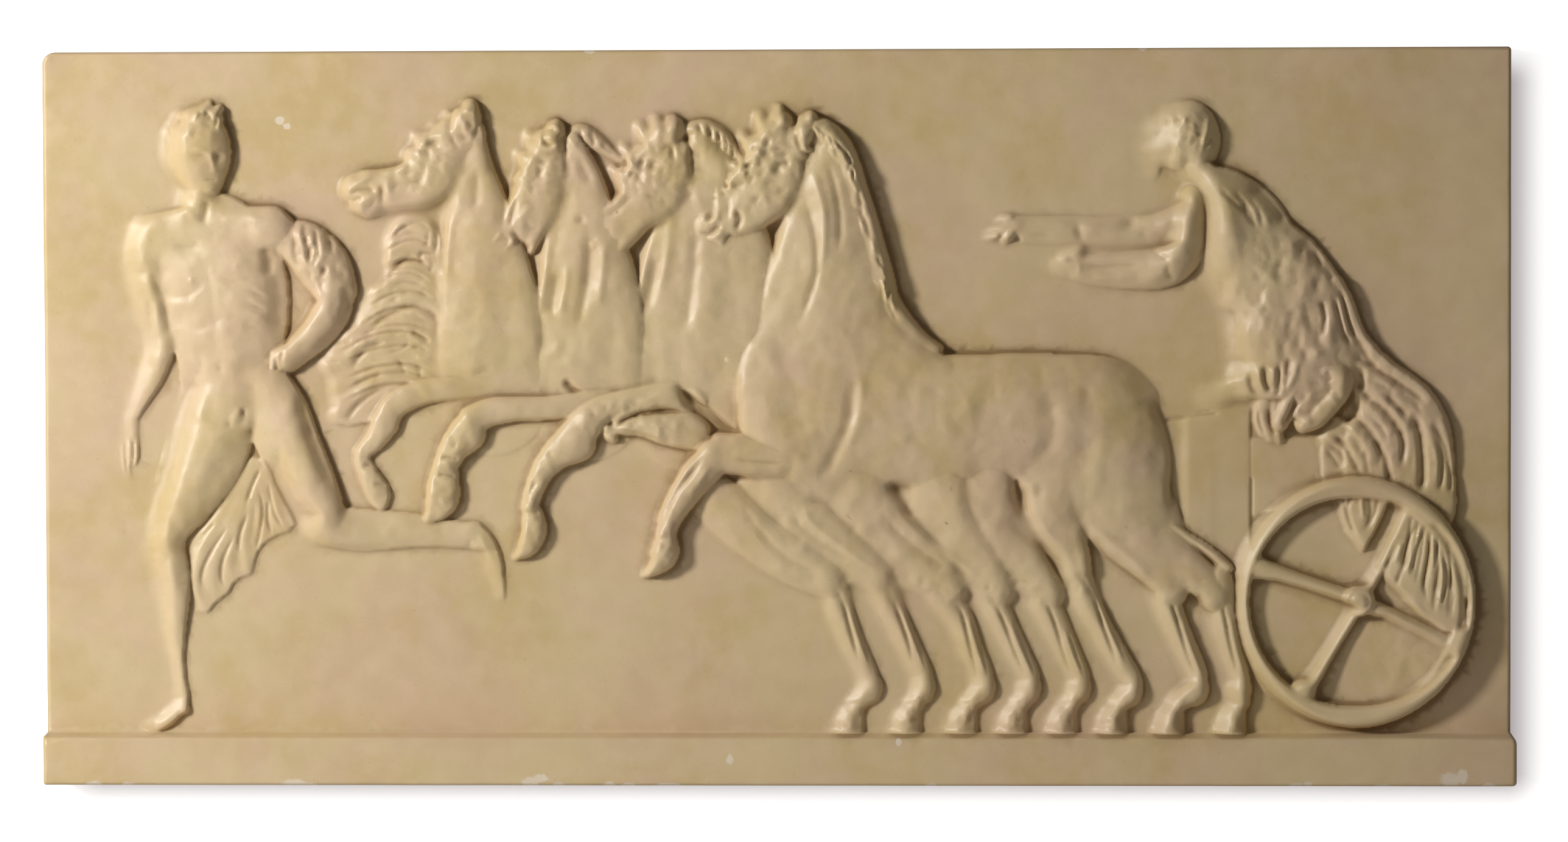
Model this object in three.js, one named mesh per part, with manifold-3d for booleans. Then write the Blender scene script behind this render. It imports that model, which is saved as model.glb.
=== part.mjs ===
// Cast plaster wall panel: a runner, a team of four horses and a leaning driver in low relief.
// Millimetres, +Z up, the carved face towards -Y. The origin is on the flat back, at its middle.

import * as THREE from "three";
import { mergeVertices } from "three/addons/utils/BufferGeometryUtils.js";
import Module from "manifold-3d";

// The cast panel
const GROUP_LENGTH = 907;
const LEFT_MARGIN = 57;
const RIGHT_MARGIN = 36;
const TOP_MARGIN = 34;
const SLAB_THICKNESS = 30;
const SLAB_CORNER_RADIUS = 9;
const PLINTH_HEIGHT = 33.5;
const PLINTH_PROJECTION = 21;
const PLINTH_OVERHANG = 3;
const PLINTH_CORNER_RADIUS = 5;

// The carving: how far the boldest form stands out, and how far each form and its tips run into the slab
const RELIEF_RISE = 20;
const ROOT_DEPTH = 4;
const TIP_DEPTH = 1;

// The chariot wheel
const WHEEL_HALF_WIDTH = 84;
const WHEEL_HALF_HEIGHT = 86;
const WHEEL_GROUND_GAP = 4.5;
const WHEEL_RIM_WIDTH = 13.5;
const WHEEL_RISE = 18;
const HUB_RADIUS = 11;
const HUB_FLARE = 1.15;
const SPOKE_HALF_WIDTH = 5;
const SPOKE_FLARE = 1.7;
const SPOKE_RISE = 12.6;
const SPOKE_ANGLES = [62, 160, 240, 338];

// The carving is drawn on a sheet that is as long as the group and has units of its own. These are the
// group's left end, its ground line, its highest ear, its length and its boldest rise there, and the
// figures below are drawn in the same units.
const SHEET = { left: 57, ground: 33.5, top: 466, length: 907, rise: 20 };
const WHEEL_CENTRE_ON_SHEET = 892;

const unit = GROUP_LENGTH / SHEET.length;
const riseUnit = RELIEF_RISE / SHEET.rise;
const panelLength = LEFT_MARGIN + GROUP_LENGTH + RIGHT_MARGIN;
const panelHeight = PLINTH_HEIGHT + (SHEET.top - SHEET.ground) * unit + TOP_MARGIN;

const wasm = await Module();
wasm.setup();

// A closed geometry as a solid that can be joined to others
const MERGE_DISTANCE = 1e-3;

function solidOf(geometry) {
  const bare = new THREE.BufferGeometry();
  bare.setAttribute("position", geometry.getAttribute("position"));
  bare.setIndex(geometry.getIndex());
  const merged = mergeVertices(bare, MERGE_DISTANCE);
  return new wasm.Manifold(
    new wasm.Mesh({
      numProp: 3,
      vertProperties: merged.attributes.position.array,
      triVerts: new Uint32Array(merged.index.array),
    }),
  );
}

// Places on the sheet as places on the panel
const sheetX = (x) => (x - SHEET.left) * unit + LEFT_MARGIN - panelLength / 2;
const sheetZ = (z) => (z - SHEET.ground) * unit + PLINTH_HEIGHT - panelHeight / 2;
const frontY = (rise) => -(SLAB_THICKNESS + rise);

// A form of the relief is a capsule bent along its spine and flattened against the ground.
// Each station of the spine is [x, z, half width, rise]. The crest moves by lean, a share of the half
// width, to the right of the way the spine runs. A section has a crest, two shoulders, two edges and a
// back: a point is on the back or the crest when it faces that way by more than these shares.
const SECTION_SIDES = 8;
const CAPSULE_LENGTH = 2;
const SHOULDER_SHARE = 0.82;
const EDGE_SHARE = 0.25;
const EDGE_FACING = 0.1;
const CREST_FACING = 0.9;
const ON_AXIS = 1e-6;
const SMALL = { steps: 1, capRings: 1 };

function form(stations, { lean = 0, steps = stations.length - 1, capRings = 2 } = {}) {
  const spine = new THREE.CatmullRomCurve3(stations.map(([x, z]) => new THREE.Vector3(x, z, 0)));
  const girth = new THREE.CatmullRomCurve3(stations.map(([, , w, r]) => new THREE.Vector3(w, r, 0)));
  const capsule = new THREE.CapsuleGeometry(1, CAPSULE_LENGTH, capRings, SECTION_SIDES, steps);
  const position = capsule.getAttribute("position");
  for (let i = 0; i < position.count; i++) {
    const along = position.getY(i);
    const t = THREE.MathUtils.clamp(along / CAPSULE_LENGTH + 0.5, 0, 1);
    const beyond = along - (t - 0.5) * CAPSULE_LENGTH;
    const here = spine.getPoint(t);
    const way = spine.getTangent(t);
    const { x: width, y: rise } = girth.getPoint(t);
    const reach = Math.hypot(position.getX(i), position.getZ(i));
    const isTip = reach < ON_AXIS;
    const round = isTip ? 0 : Math.atan2(position.getX(i), position.getZ(i));
    const facing = Math.cos(round);
    const isBack = !isTip && facing < -EDGE_FACING;
    const isEdge = Math.abs(facing) < EDGE_FACING;
    const isCrest = !isTip && facing > CREST_FACING;
    let side = reach * Math.sin(round);
    if (isBack && Math.abs(side) > EDGE_FACING) side = reach * Math.sign(side);
    if (isCrest) side += lean * reach;
    let lift = rise * reach * (isCrest ? 1 : SHOULDER_SHARE);
    if (isEdge) lift = rise * EDGE_SHARE;
    if (isBack) lift = -ROOT_DEPTH / riseUnit;
    if (isTip) lift = -TIP_DEPTH / riseUnit;
    const x = here.x + way.x * beyond * width + way.y * side * width;
    const z = here.y + way.y * beyond * width - way.x * side * width;
    position.setXYZ(i, sheetX(x), frontY(lift * riseUnit), sheetZ(z));
  }
  return solidOf(capsule);
}

// A point at a share of the way from one place to another, moved to the right of that way by a share
function between([ax, az], [bx, bz], share, aside = 0) {
  const x = ax + (bx - ax) * share + (bz - az) * aside;
  const z = az + (bz - az) * share - (bx - ax) * aside;
  return [x, z];
}

// A horse's head seen from its side, from the poll behind the ears to the lips
function horseHead(poll, lips, rise) {
  const length = Math.hypot(lips[0] - poll[0], lips[1] - poll[1]);
  const at = (share, aside, halfWidth, high) => [
    ...between(poll, lips, share, -aside),
    halfWidth * length,
    high * rise,
  ];
  const skull = form(
    [
      at(0.1, 0.05, 0.15, 0.85),
      at(0.36, 0.11, 0.22, 1),
      at(0.62, 0.07, 0.18, 0.9),
      at(0.86, 0.02, 0.15, 0.7),
    ],
    { steps: 4 },
  );
  const ear = form([at(0.12, 0.0, 0.09, 1.05), at(-0.07, 0.0, 0.07, 0.9)], SMALL);
  const forelock = form([at(0.08, -0.11, 0.08, 0.85), at(0.34, -0.13, 0.06, 0.85)], SMALL);
  return [skull, ear, forelock];
}

// A foreleg thrown forward: elbow, knee, fetlock, toe, with the knee's half width and rise
function foreLeg(elbow, knee, fetlock, toe, width, rise) {
  const upper = form(
    [
      [...elbow, width * 1.3, rise],
      [...knee, width, rise],
    ],
    { steps: 1 },
  );
  const lower = form(
    [
      [...knee, width * 0.9, rise * 0.95],
      [...between(knee, fetlock, 0.55), width * 0.62, rise * 0.75],
      [...fetlock, width * 0.66, rise * 0.8],
      [...between(fetlock, toe, 0.5), width * 0.7, rise * 0.85],
      [...toe, width * 0.72, rise * 0.6],
    ],
    { steps: 4 },
  );
  return [upper, lower];
}

// A hind leg from the hock down to the hoof on the ground
function hindLeg(hock, fetlock, hoofX, rise) {
  const cannon = form(
    [
      [...hock, 13, rise],
      [...between(hock, fetlock, 0.45), 9.5, rise * 0.85],
      [...fetlock, 10, rise * 0.9],
    ],
    { steps: 2 },
  );
  const hoof = form(
    [
      [hoofX + 6, SHEET.ground + 22, 9, rise * 0.9],
      [hoofX, SHEET.ground + 8, 13, rise],
    ],
    SMALL,
  );
  return [cannon, hoof];
}

// The runner at the left, striding to the left and looking back
function runner() {
  return [
    form([[110, 418, 16, 12], [101, 436, 23, 14]], { steps: 1, capRings: 3 }),
    form([[106, 380, 17, 10], [104, 408, 15, 10]], { steps: 1 }),
    form(
      [[113, 370, 34, 12], [124, 347, 43, 15], [129, 322, 40, 15], [128, 300, 35, 14], [130, 278, 30, 13]],
      { steps: 5 },
    ),
    form([[128, 290, 32, 12], [124, 258, 27, 13]], { steps: 1 }),
    form([[152, 376, 16, 14], [164, 379, 12, 12]], { steps: 1 }),
    form([[72, 372, 15, 10], [74, 340, 14, 12], [80, 302, 12, 10]]),
    form([[79, 300, 12, 10], [61, 254, 8, 7]], { steps: 1 }),
    form([[59, 246, 8, 6], [57, 217, 7, 4]], SMALL),
    form([[168, 374, 15, 12], [186, 360, 17, 12], [198, 338, 16, 12]]),
    form([[200, 332, 13, 12], [186, 306, 13, 12], [168, 290, 11, 11]]),
    form([[166, 290, 11, 11], [155, 284, 9, 10]], { steps: 1 }),
    form(
      [
        [120, 258, 26, 13],
        [113, 232, 28, 14],
        [99, 202, 23, 14],
        [86, 172, 14, 12],
        [87, 135, 13, 11],
        [89, 95, 8.5, 8],
        [91, 50, 7.5, 7],
      ],
      { steps: 6 },
    ),
    form([[89, 45, 8, 7], [62, 39, 6, 5]], SMALL),
    form([[160, 266, 20, 12], [173, 226, 20, 15], [189, 184, 15, 12]]),
    form([[194, 173, 14, 12], [286, 170, 8, 7]], { steps: 1 }),
    form([[298, 170, 9, 6], [311, 134, 6, 4]], SMALL),
  ];
}

// The runner's cloak: the fan of folds below the hips, and the cloth that flies out behind
function cloak() {
  const hem = [
    [[141, 214], [104, 124], 9],
    [[146, 214], [122, 137], 8],
    [[149, 214], [138, 147], 7],
    [[152, 214], [154, 168], 6],
    [[154, 214], [168, 176], 5],
  ];
  const folds = hem.map(([top, tip, width]) =>
    form(
      [
        [...top, width * 0.7, 6],
        [...between(top, tip, 0.55, 0.04), width, 7],
        [...tip, width * 0.55, 4],
      ],
      { capRings: 1 },
    ),
  );
  const flying = [
    [[206, 258, 10, 4], [226, 270, 8, 5], [246, 276, 7, 4]],
    [[211, 283, 10, 5], [236, 294, 9, 6], [262, 298, 8, 4]],
    [[221, 306, 10, 5], [248, 318, 10, 6], [270, 308, 8, 4]],
    [[226, 330, 10, 4], [250, 342, 11, 6], [270, 336, 8, 4]],
    [[240, 352, 9, 5], [247, 374, 9, 6], [262, 372, 9, 4]],
  ];
  return [...folds, ...flying.map((stations) => form(stations, { capRings: 1 }))];
}

// The team: each horse further from the front stands out less behind the next one's neck
function horses() {
  const necks = [
    [[300, 272, 31, 9], [299, 312, 30, 12], [296, 352, 27, 12], [293, 388, 21, 12], [293, 428, 13, 11]],
    [[358, 274, 30, 10], [364, 312, 32, 12], [365, 350, 28, 12], [364, 386, 22, 12], [364, 428, 12, 10]],
    [[432, 272, 38, 10], [442, 306, 42, 12], [446, 345, 42, 12], [448, 385, 32, 12], [452, 424, 17, 10]],
    [[543, 268, 70, 17], [536, 312, 54, 17], [537, 352, 42, 16], [536, 392, 31, 15], [536, 428, 20, 13]],
  ].map((stations) => form(stations, { lean: -0.4 }));
  const heads = [
    horseHead([292, 450], [207, 402], 13),
    horseHead([352, 442], [308, 360], 13),
    horseHead([436, 444], [368, 372], 13),
    horseHead([518, 449], [455, 371], 15),
  ];
  const mane = form(
    [[540, 443, 9, 10], [558, 424, 8, 10], [570, 385, 8, 9], [581, 342, 8, 9], [598, 306, 9, 9]],
  );
  const manes = [
    form([[368, 442, 6, 6], [384, 430, 5, 6]], SMALL),
    form([[449, 446, 7, 8], [472, 432, 6, 7]], SMALL),
  ];
  const nearBody = [
    form([[505, 272, 30, 16], [510, 238, 26, 16]], { steps: 1 }),
    form([[548, 252, 46, 17], [605, 247, 44, 18], [665, 251, 42, 17], [722, 246, 45, 18]], { lean: 0.2 }),
    form([[722, 250, 44, 18], [728, 212, 46, 18], [740, 178, 32, 15], [764, 148, 17, 12]], { lean: 0.15 }),
    form([[752, 172, 18, 12], [795, 137, 12, 11]], { steps: 1 }),
    form([[697, 212, 28, 14], [692, 182, 20, 12], [710, 152, 11, 9]]),
  ];
  const thighs = [
    [[474, 196], [543, 137], 17],
    [[512, 196], [577, 142], 17],
    [[560, 190], [622, 130], 19],
    [[594, 186], [655, 130], 19],
    [[632, 184], [687, 130], 19],
    [[664, 190], [708, 148], 17],
  ].map(([hip, hock, width]) =>
    form(
      [
        [...hip, width * 1.2, 7],
        [...between(hip, hock, 0.5, 0.03), width, 8],
        [...hock, width * 0.65, 8],
      ],
      { lean: -0.3, capRings: 1 },
    ),
  );
  const foreLegs = [
    foreLeg([300, 266], [234, 248], [224, 216], [226, 197], 11, 9),
    foreLeg([352, 256], [291, 245], [275, 210], [270, 190], 11, 10),
    foreLeg([412, 258], [363, 240], [336, 190], [330, 164], 11, 10),
    foreLeg([470, 246], [430, 258], [396, 250], [388, 248], 11, 8),
    foreLeg([436, 238], [418, 236], [396, 241], [390, 242], 12, 9),
    foreLeg([528, 222], [452, 226], [427, 178], [421, 152], 12, 15),
  ];
  const hindLegs = [
    hindLeg([543, 136], [563, 70], 548, 8),
    hindLeg([577, 141], [601, 70], 586, 8),
    hindLeg([622, 128], [641, 70], 624, 8),
    hindLeg([655, 129], [673, 70], 658, 8),
    hindLeg([687, 128], [706, 70], 692, 8),
    hindLeg([712, 145], [741, 70], 727, 9),
    hindLeg([768, 138], [786, 70], 767, 10),
    hindLeg([797, 134], [814, 70], 807, 10),
  ];
  return [
    ...necks,
    ...heads.flat(),
    mane,
    ...manes,
    ...nearBody,
    ...thighs,
    ...foreLegs.flat(),
    ...hindLegs.flat(),
  ];
}

// The driver leaning over the team, with both arms held out and a long robe blown back
function driver() {
  const robeFolds = [
    [[872, 348, 12, 11], [888, 312, 9, 10], [922, 280, 8, 9], [948, 250, 9, 10], [955, 200, 8, 9]],
    [[866, 325, 12, 12], [888, 293, 9, 11], [920, 264, 9, 10], [938, 232, 8, 10], [941, 204, 7, 9]],
    [[876, 292, 12, 12], [903, 266, 9, 10], [923, 238, 8, 10], [927, 206, 8, 9]],
    [[872, 262, 12, 10], [898, 246, 8, 9], [911, 224, 7, 9], [912, 204, 6, 8]],
    [[874, 238, 11, 7], [890, 226, 8, 7], [896, 204, 7, 7]],
  ];
  return [
    form([[766, 433, 17, 13], [780, 443, 23, 15]], { steps: 1, capRings: 3 }),
    form([[790, 395, 16, 11], [779, 414, 12, 10]], { steps: 1 }),
    form([[808, 385, 22, 13], [838, 355, 37, 14], [846, 322, 42, 15], [842, 290, 38, 14]]),
    form([[846, 300, 30, 12], [840, 262, 17, 10], [836, 244, 9, 6]]),
    form([[812, 290, 24, 10], [795, 270, 16, 8]], { steps: 1 }),
    form([[786, 385, 14, 13], [777, 360, 17, 14], [757, 347, 15, 13], [728, 346, 12, 10], [702, 348, 10, 6]]),
    form([[765, 382, 12, 8], [735, 376, 10, 8], [700, 377, 8, 7], [672, 378, 8, 6], [650, 379, 9, 6]]),
    form([[852, 250, 13, 9], [866, 264, 14, 11], [884, 275, 12, 10]]),
    ...robeFolds.map((stations) => form(stations, { capRings: 1 })),
    form([[894, 196, 16, 5], [898, 168, 8, 4]], SMALL),
    form([[934, 172, 14, 6], [944, 120, 15, 5]], SMALL),
  ];
}

// The car's upright rail and body, and the pole and trace that run forward from it
function car() {
  return [
    form([[811, 246, 14, 7], [811, 160, 14, 7]], { steps: 1 }),
    form([[787, 240, 12, 3], [787, 178, 12, 3]], { steps: 1 }),
    form([[768, 252, 4, 5], [800, 256, 5, 6]], { steps: 1 }),
    form([[774, 173, 3.5, 6], [808, 147, 4, 6]], { steps: 1 }),
  ];
}

// Half of the rim's section, from its edge to its crest: [share of its half width, share of its rise]
const RIM_SECTION = [[1, 0.5], [0.6, 0.88], [0, 1]];
const RIM_STEPS = 40;
const HUB_STEPS = 16;

// The wheel: an oval rim, a hub and four spokes. Its own sizes are taken to the sheet's units.
function wheel() {
  const halfWidth = WHEEL_HALF_WIDTH / unit;
  const halfHeight = WHEEL_HALF_HEIGHT / unit;
  const rimWidth = WHEEL_RIM_WIDTH / unit;
  const spokeHalf = SPOKE_HALF_WIDTH / unit;
  const spokeRise = SPOKE_RISE / riseUnit;
  const centre = [WHEEL_CENTRE_ON_SHEET, SHEET.ground + WHEEL_GROUND_GAP / unit + halfHeight];

  const middle = WHEEL_HALF_WIDTH - WHEEL_RIM_WIDTH / 2;
  const section = ([share, high], side) =>
    new THREE.Vector2(middle + (side * share * WHEEL_RIM_WIDTH) / 2, -high * WHEEL_RISE);
  const inner = RIM_SECTION.map((point) => section(point, -1));
  const outer = RIM_SECTION.slice(0, -1).reverse().map((point) => section(point, 1));
  const roots = [1, -1].map((side) => new THREE.Vector2(middle + (side * WHEEL_RIM_WIDTH) / 2, ROOT_DEPTH));
  const rim = new THREE.LatheGeometry([...inner, ...outer, ...roots, inner[0]], RIM_STEPS);
  rim.scale(1, 1, (WHEEL_HALF_HEIGHT - WHEEL_RIM_WIDTH / 2) / middle);
  rim.translate(sheetX(centre[0]), frontY(0), sheetZ(centre[1]));

  const hubDepth = WHEEL_RISE + ROOT_DEPTH;
  const hub = new THREE.CylinderGeometry(HUB_RADIUS * HUB_FLARE, HUB_RADIUS, hubDepth, HUB_STEPS);
  hub.translate(sheetX(centre[0]), frontY(WHEEL_RISE - hubDepth / 2), sheetZ(centre[1]));

  const spokes = SPOKE_ANGLES.map((degrees) => {
    const turn = THREE.MathUtils.degToRad(degrees);
    const tip = [
      centre[0] + Math.cos(turn) * (halfWidth - rimWidth),
      centre[1] + Math.sin(turn) * (halfHeight - rimWidth),
    ];
    return form([
      [...centre, spokeHalf, spokeRise],
      [...between(centre, tip, 0.7), spokeHalf, spokeRise],
      [...tip, spokeHalf * SPOKE_FLARE, spokeRise],
    ]);
  });
  return [solidOf(rim), solidOf(hub), ...spokes];
}

// A flat plate with its upper corners rounded, from the back plane forward
const CORNER_STEPS = 5;

function plate(left, right, bottom, top, depth, leftRound, rightRound) {
  const outline = new THREE.Shape();
  outline.moveTo(left, bottom);
  outline.lineTo(right, bottom);
  outline.lineTo(right, top - rightRound);
  if (rightRound > 0) outline.absarc(right - rightRound, top - rightRound, rightRound, 0, Math.PI / 2);
  outline.lineTo(left + leftRound, top);
  if (leftRound > 0) outline.absarc(left + leftRound, top - leftRound, leftRound, Math.PI / 2, Math.PI);
  outline.closePath();
  const options = { depth, bevelEnabled: false, curveSegments: CORNER_STEPS };
  const body = new THREE.ExtrudeGeometry(outline, options);
  body.rotateX(Math.PI / 2);
  return solidOf(body);
}

// The slab and the plinth along its foot
function slab() {
  const left = -panelLength / 2;
  const bottom = -panelHeight / 2;
  const plinthTop = bottom + PLINTH_HEIGHT;
  const plinthDepth = SLAB_THICKNESS + PLINTH_PROJECTION;
  const board = plate(left, -left, bottom, -bottom, SLAB_THICKNESS, SLAB_CORNER_RADIUS, 0);
  const right = -left + PLINTH_OVERHANG;
  const plinth = plate(left, right, bottom, plinthTop, plinthDepth, 0, PLINTH_CORNER_RADIUS);
  return board.add(plinth);
}

// Everything is one casting
let casting = slab();
for (const piece of [...runner(), ...cloak(), ...horses(), ...driver(), ...car(), ...wheel()]) {
  casting = casting.add(piece);
}

const surface = casting.getMesh();
const geometry = new THREE.BufferGeometry();
geometry.setAttribute("position", new THREE.BufferAttribute(new Float32Array(surface.vertProperties), 3));
geometry.setIndex(new THREE.BufferAttribute(new Uint32Array(surface.triVerts), 1));
geometry.computeVertexNormals();

const plaster = new THREE.MeshStandardMaterial({ color: 0xc9ad82, roughness: 0.62, metalness: 0 });
const reliefPanel = new THREE.Mesh(geometry, plaster);
reliefPanel.name = "relief_panel";

const panel = new THREE.Group();
panel.add(reliefPanel);

export default panel;
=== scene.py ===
"""Plaster relief panel: a runner, a team of four horses, and a driver leaning from a wheeled car."""
import math
import bpy
import numpy as np
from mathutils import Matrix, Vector


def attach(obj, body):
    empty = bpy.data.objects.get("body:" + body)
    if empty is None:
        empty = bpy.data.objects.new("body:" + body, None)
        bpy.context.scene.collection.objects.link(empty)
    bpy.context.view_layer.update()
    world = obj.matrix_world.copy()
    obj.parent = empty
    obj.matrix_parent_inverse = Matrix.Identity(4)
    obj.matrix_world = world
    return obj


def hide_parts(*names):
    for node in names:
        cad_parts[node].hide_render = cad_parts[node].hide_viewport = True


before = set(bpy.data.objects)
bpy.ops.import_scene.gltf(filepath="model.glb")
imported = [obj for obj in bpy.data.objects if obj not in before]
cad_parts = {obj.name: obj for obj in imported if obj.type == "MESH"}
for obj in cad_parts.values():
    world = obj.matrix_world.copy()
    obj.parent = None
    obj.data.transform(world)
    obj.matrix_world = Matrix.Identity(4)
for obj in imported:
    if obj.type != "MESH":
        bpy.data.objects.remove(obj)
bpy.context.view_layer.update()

# The sheet: the panel's front in millimetres, x from its left end, z from its lower edge
SHEET_LENGTH, SHEET_HEIGHT = 1000, 500
GROUND = 33.5
NOTHING = -30.0

xs = np.arange(SHEET_LENGTH + 1, dtype=np.float32)
zs = np.arange(SHEET_HEIGHT + 1, dtype=np.float32)


def blank():
    return np.full((len(zs), len(xs)), NOTHING, np.float32)


def spline(stations, spacing=1.0):
    """Points along a smooth curve through the stations, about one a millimetre."""
    p = np.array(stations, float)
    if len(p) == 2:
        n = max(2, int(np.hypot(*(p[1] - p[0])[:2]) / spacing))
        t = np.linspace(0, 1, n + 1)[:, None]
        return p[0] + (p[1] - p[0]) * t
    ends = np.vstack([2 * p[0] - p[1], p, 2 * p[-1] - p[-2]])
    out = []
    for a, b, c, d in zip(ends, ends[1:], ends[2:], ends[3:]):
        n = max(2, int(np.hypot(*(c - b)[:2]) / spacing))
        t = np.linspace(0, 1, n, endpoint=False)[:, None]
        out.append(0.5 * (2 * b + (c - a) * t + (2 * a - 5 * b + 4 * c - d) * t ** 2
                          + (3 * b - a - 3 * c + d) * t ** 3))
    return np.vstack(out + [p[-1:]])


def window(points, reach):
    """The part of the sheet within reach of some points, as a pair of slices."""
    x0 = max(0, int(np.floor(points[:, 0].min() - reach)))
    x1 = min(len(xs), int(np.ceil(points[:, 0].max() + reach)) + 1)
    z0 = max(0, int(np.floor(points[:, 1].min() - reach)))
    z1 = min(len(zs), int(np.ceil(points[:, 1].max() + reach)) + 1)
    return slice(z0, z1), slice(x0, x1)


def measure(points, widths):
    """How far each place lies from a curve, as a share of the curve's half width there, which side of it
    the place is on, and how far along the nearest point is."""
    box = window(points, widths.max() + 1)
    shape = (box[0].stop - box[0].start, box[1].stop - box[1].start)
    near = np.full(shape, 9.0, np.float32)
    side = np.zeros(shape, np.float32)
    along = np.zeros(shape, np.float32)
    ways = np.gradient(points[:, :2], axis=0)
    ways /= np.hypot(ways[:, 0], ways[:, 1])[:, None] + 1e-9
    for i, ((px, pz), w, (wx, wz)) in enumerate(zip(points[:, :2], widths, ways)):
        x0 = max(box[1].start, int(px - w) - 1)
        x1 = min(box[1].stop, int(px + w) + 3)
        z0 = max(box[0].start, int(pz - w) - 1)
        z1 = min(box[0].stop, int(pz + w) + 3)
        if x1 <= x0 or z1 <= z0:
            continue
        dx = (xs[x0:x1] - px)[None, :]
        dz = (zs[z0:z1] - pz)[:, None]
        q = np.sqrt(dx * dx + dz * dz) / w
        part = (slice(z0 - box[0].start, z1 - box[0].start), slice(x0 - box[1].start, x1 - box[1].start))
        closer = q < near[part]
        near[part] = np.where(closer, q, near[part])
        side[part] = np.where(closer, (dx * wz - dz * wx) / w, side[part])
        ahead = np.clip(dx * wx + dz * wz, -0.5, 0.5)
        along[part] = np.where(closer, i + ahead, along[part])
    return box, near, side, along


def soft_max(a, b, soft):
    if soft <= 0:
        return np.maximum(a, b)
    close = np.clip(soft - np.abs(a - b), 0, None) / soft
    return np.maximum(a, b) + close * close * soft / 4


def form(layer, stations, lean=0.0, base=0.0, wall=0.28, soft=3.0, power=2.0):
    """A rounded form along a spine of [x, z, half width, rise]. The crest moves by lean, a share of the
    half width, to the right of the way the spine runs. wall is the share of the rise that stands up
    straight at the edge."""
    p = spline(stations)
    widths = np.maximum(p[:, 2], 0.5)
    box, near, side, along = measure(p, widths)
    rise = np.interp(along, np.arange(len(p)), p[:, 3])
    inside = near <= 1
    across = side + lean * (1 - np.clip(near, 0, 1) ** 2)
    q2 = np.clip(across ** 2 + np.clip(near ** 2 - side ** 2, 0, None), 0, 1)
    dome = (1 - q2 ** (power / 2)) ** (1 / power)
    high = np.where(inside, base + rise * (wall + (1 - wall) * dome), NOTHING)
    layer[box] = np.where(inside, soft_max(layer[box], high, soft), layer[box])


def stroke(layer, points, width, high, lean=0.0, sharp=1.0, taper=0.25):
    """A ridge, or a groove where high is negative, along a line of [x, z] on what is already there. It
    fades over taper of its length at each end."""
    p = spline(points)
    n = len(p)
    t = np.linspace(0, 1, n)
    fade = smooth_step(np.minimum(t, 1 - t) / max(taper, 1e-3)) ** 0.8 if taper else np.ones(n)
    widths = np.full(n, width * 2.4)
    box, near, side, along = measure(p, widths)
    across = side * 2.4 + lean * np.exp(-(near * 2.4) ** 2)
    past_end = (along < 0.4) | (along > n - 1.4)
    away = np.where(past_end, np.clip((near * 2.4) ** 2 - (side * 2.4) ** 2, 0, None), 0)
    d2 = across ** 2 + away
    amount = np.where(near <= 1, high * np.interp(along, np.arange(n), fade) * np.exp(-d2 ** sharp), 0)
    there = layer[box] > NOTHING + 1
    layer[box] += np.where(there, amount, 0).astype(np.float32)


def bump(layer, x, z, half_x, half_z, high, turn=0.0):
    """A soft swelling, or a hollow where high is negative, turned by degrees."""
    reach = max(half_x, half_z) * 2.5
    box = window(np.array([[x, z]]), reach)
    dx = xs[box[1]][None, :] - x
    dz = zs[box[0]][:, None] - z
    a = np.radians(turn)
    u = (dx * np.cos(a) + dz * np.sin(a)) / half_x
    v = (-dx * np.sin(a) + dz * np.cos(a)) / half_z
    amount = high * np.exp(-(u * u + v * v))
    there = layer[box] > NOTHING + 1
    layer[box] += np.where(there, amount, 0).astype(np.float32)


def within(corners):
    """The places inside an outline, and the part of the sheet that holds them."""
    c = np.array(corners, float)
    box = window(c, 1)
    gx = xs[box[1]][None, :] + 0.013
    gz = zs[box[0]][:, None] + 0.017
    inside = np.zeros((gz.shape[0], gx.shape[1]), bool)
    for (x0, z0), (x1, z1) in zip(c, np.roll(c, -1, axis=0)):
        if z0 == z1:
            continue
        cross = (gz > z0) != (gz > z1)
        inside ^= cross & (gx < (x1 - x0) * (gz - z0) / (z1 - z0) + x0)
    return box, inside


def area(layer, corners, high, soft=2.0):
    """A low flat area inside an outline."""
    box, inside = within(corners)
    layer[box] = np.where(inside, soft_max(layer[box], np.float32(high), soft), layer[box])


def cut(layer, corners):
    """Takes away what lies inside an outline."""
    box, inside = within(corners)
    layer[box] = np.where(inside, NOTHING, layer[box])


def ease(scene, x, z, half_x, half_z, sigma, turn=0.0):
    """Smooths the carving round a place, fading out at the given half sizes."""
    reach = max(half_x, half_z) * 1.5 + 3 * sigma
    box = window(np.array([[x, z]]), reach)
    dx = xs[box[1]][None, :] - x
    dz = zs[box[0]][:, None] - z
    a = np.radians(turn)
    u = (dx * np.cos(a) + dz * np.sin(a)) / half_x
    v = (-dx * np.sin(a) + dz * np.cos(a)) / half_z
    share = smooth_step(1.5 - np.hypot(u, v))
    scene[box] += share * (blur(scene[box], sigma) - scene[box])


def blur(a, sigma):
    n = max(1, int(np.ceil(sigma * 2.5)))
    k = np.exp(-0.5 * (np.arange(-n, n + 1) / sigma) ** 2)
    k /= k.sum()
    for axis in (0, 1):
        pad = np.pad(a, [(n, n) if i == axis else (0, 0) for i in (0, 1)], mode="edge")
        out = np.zeros_like(a)
        for j, w in enumerate(k):
            cut = [slice(None), slice(None)]
            cut[axis] = slice(j, j + a.shape[axis])
            out += (w * pad[tuple(cut)]).astype(a.dtype)
        a = out
    return a


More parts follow.
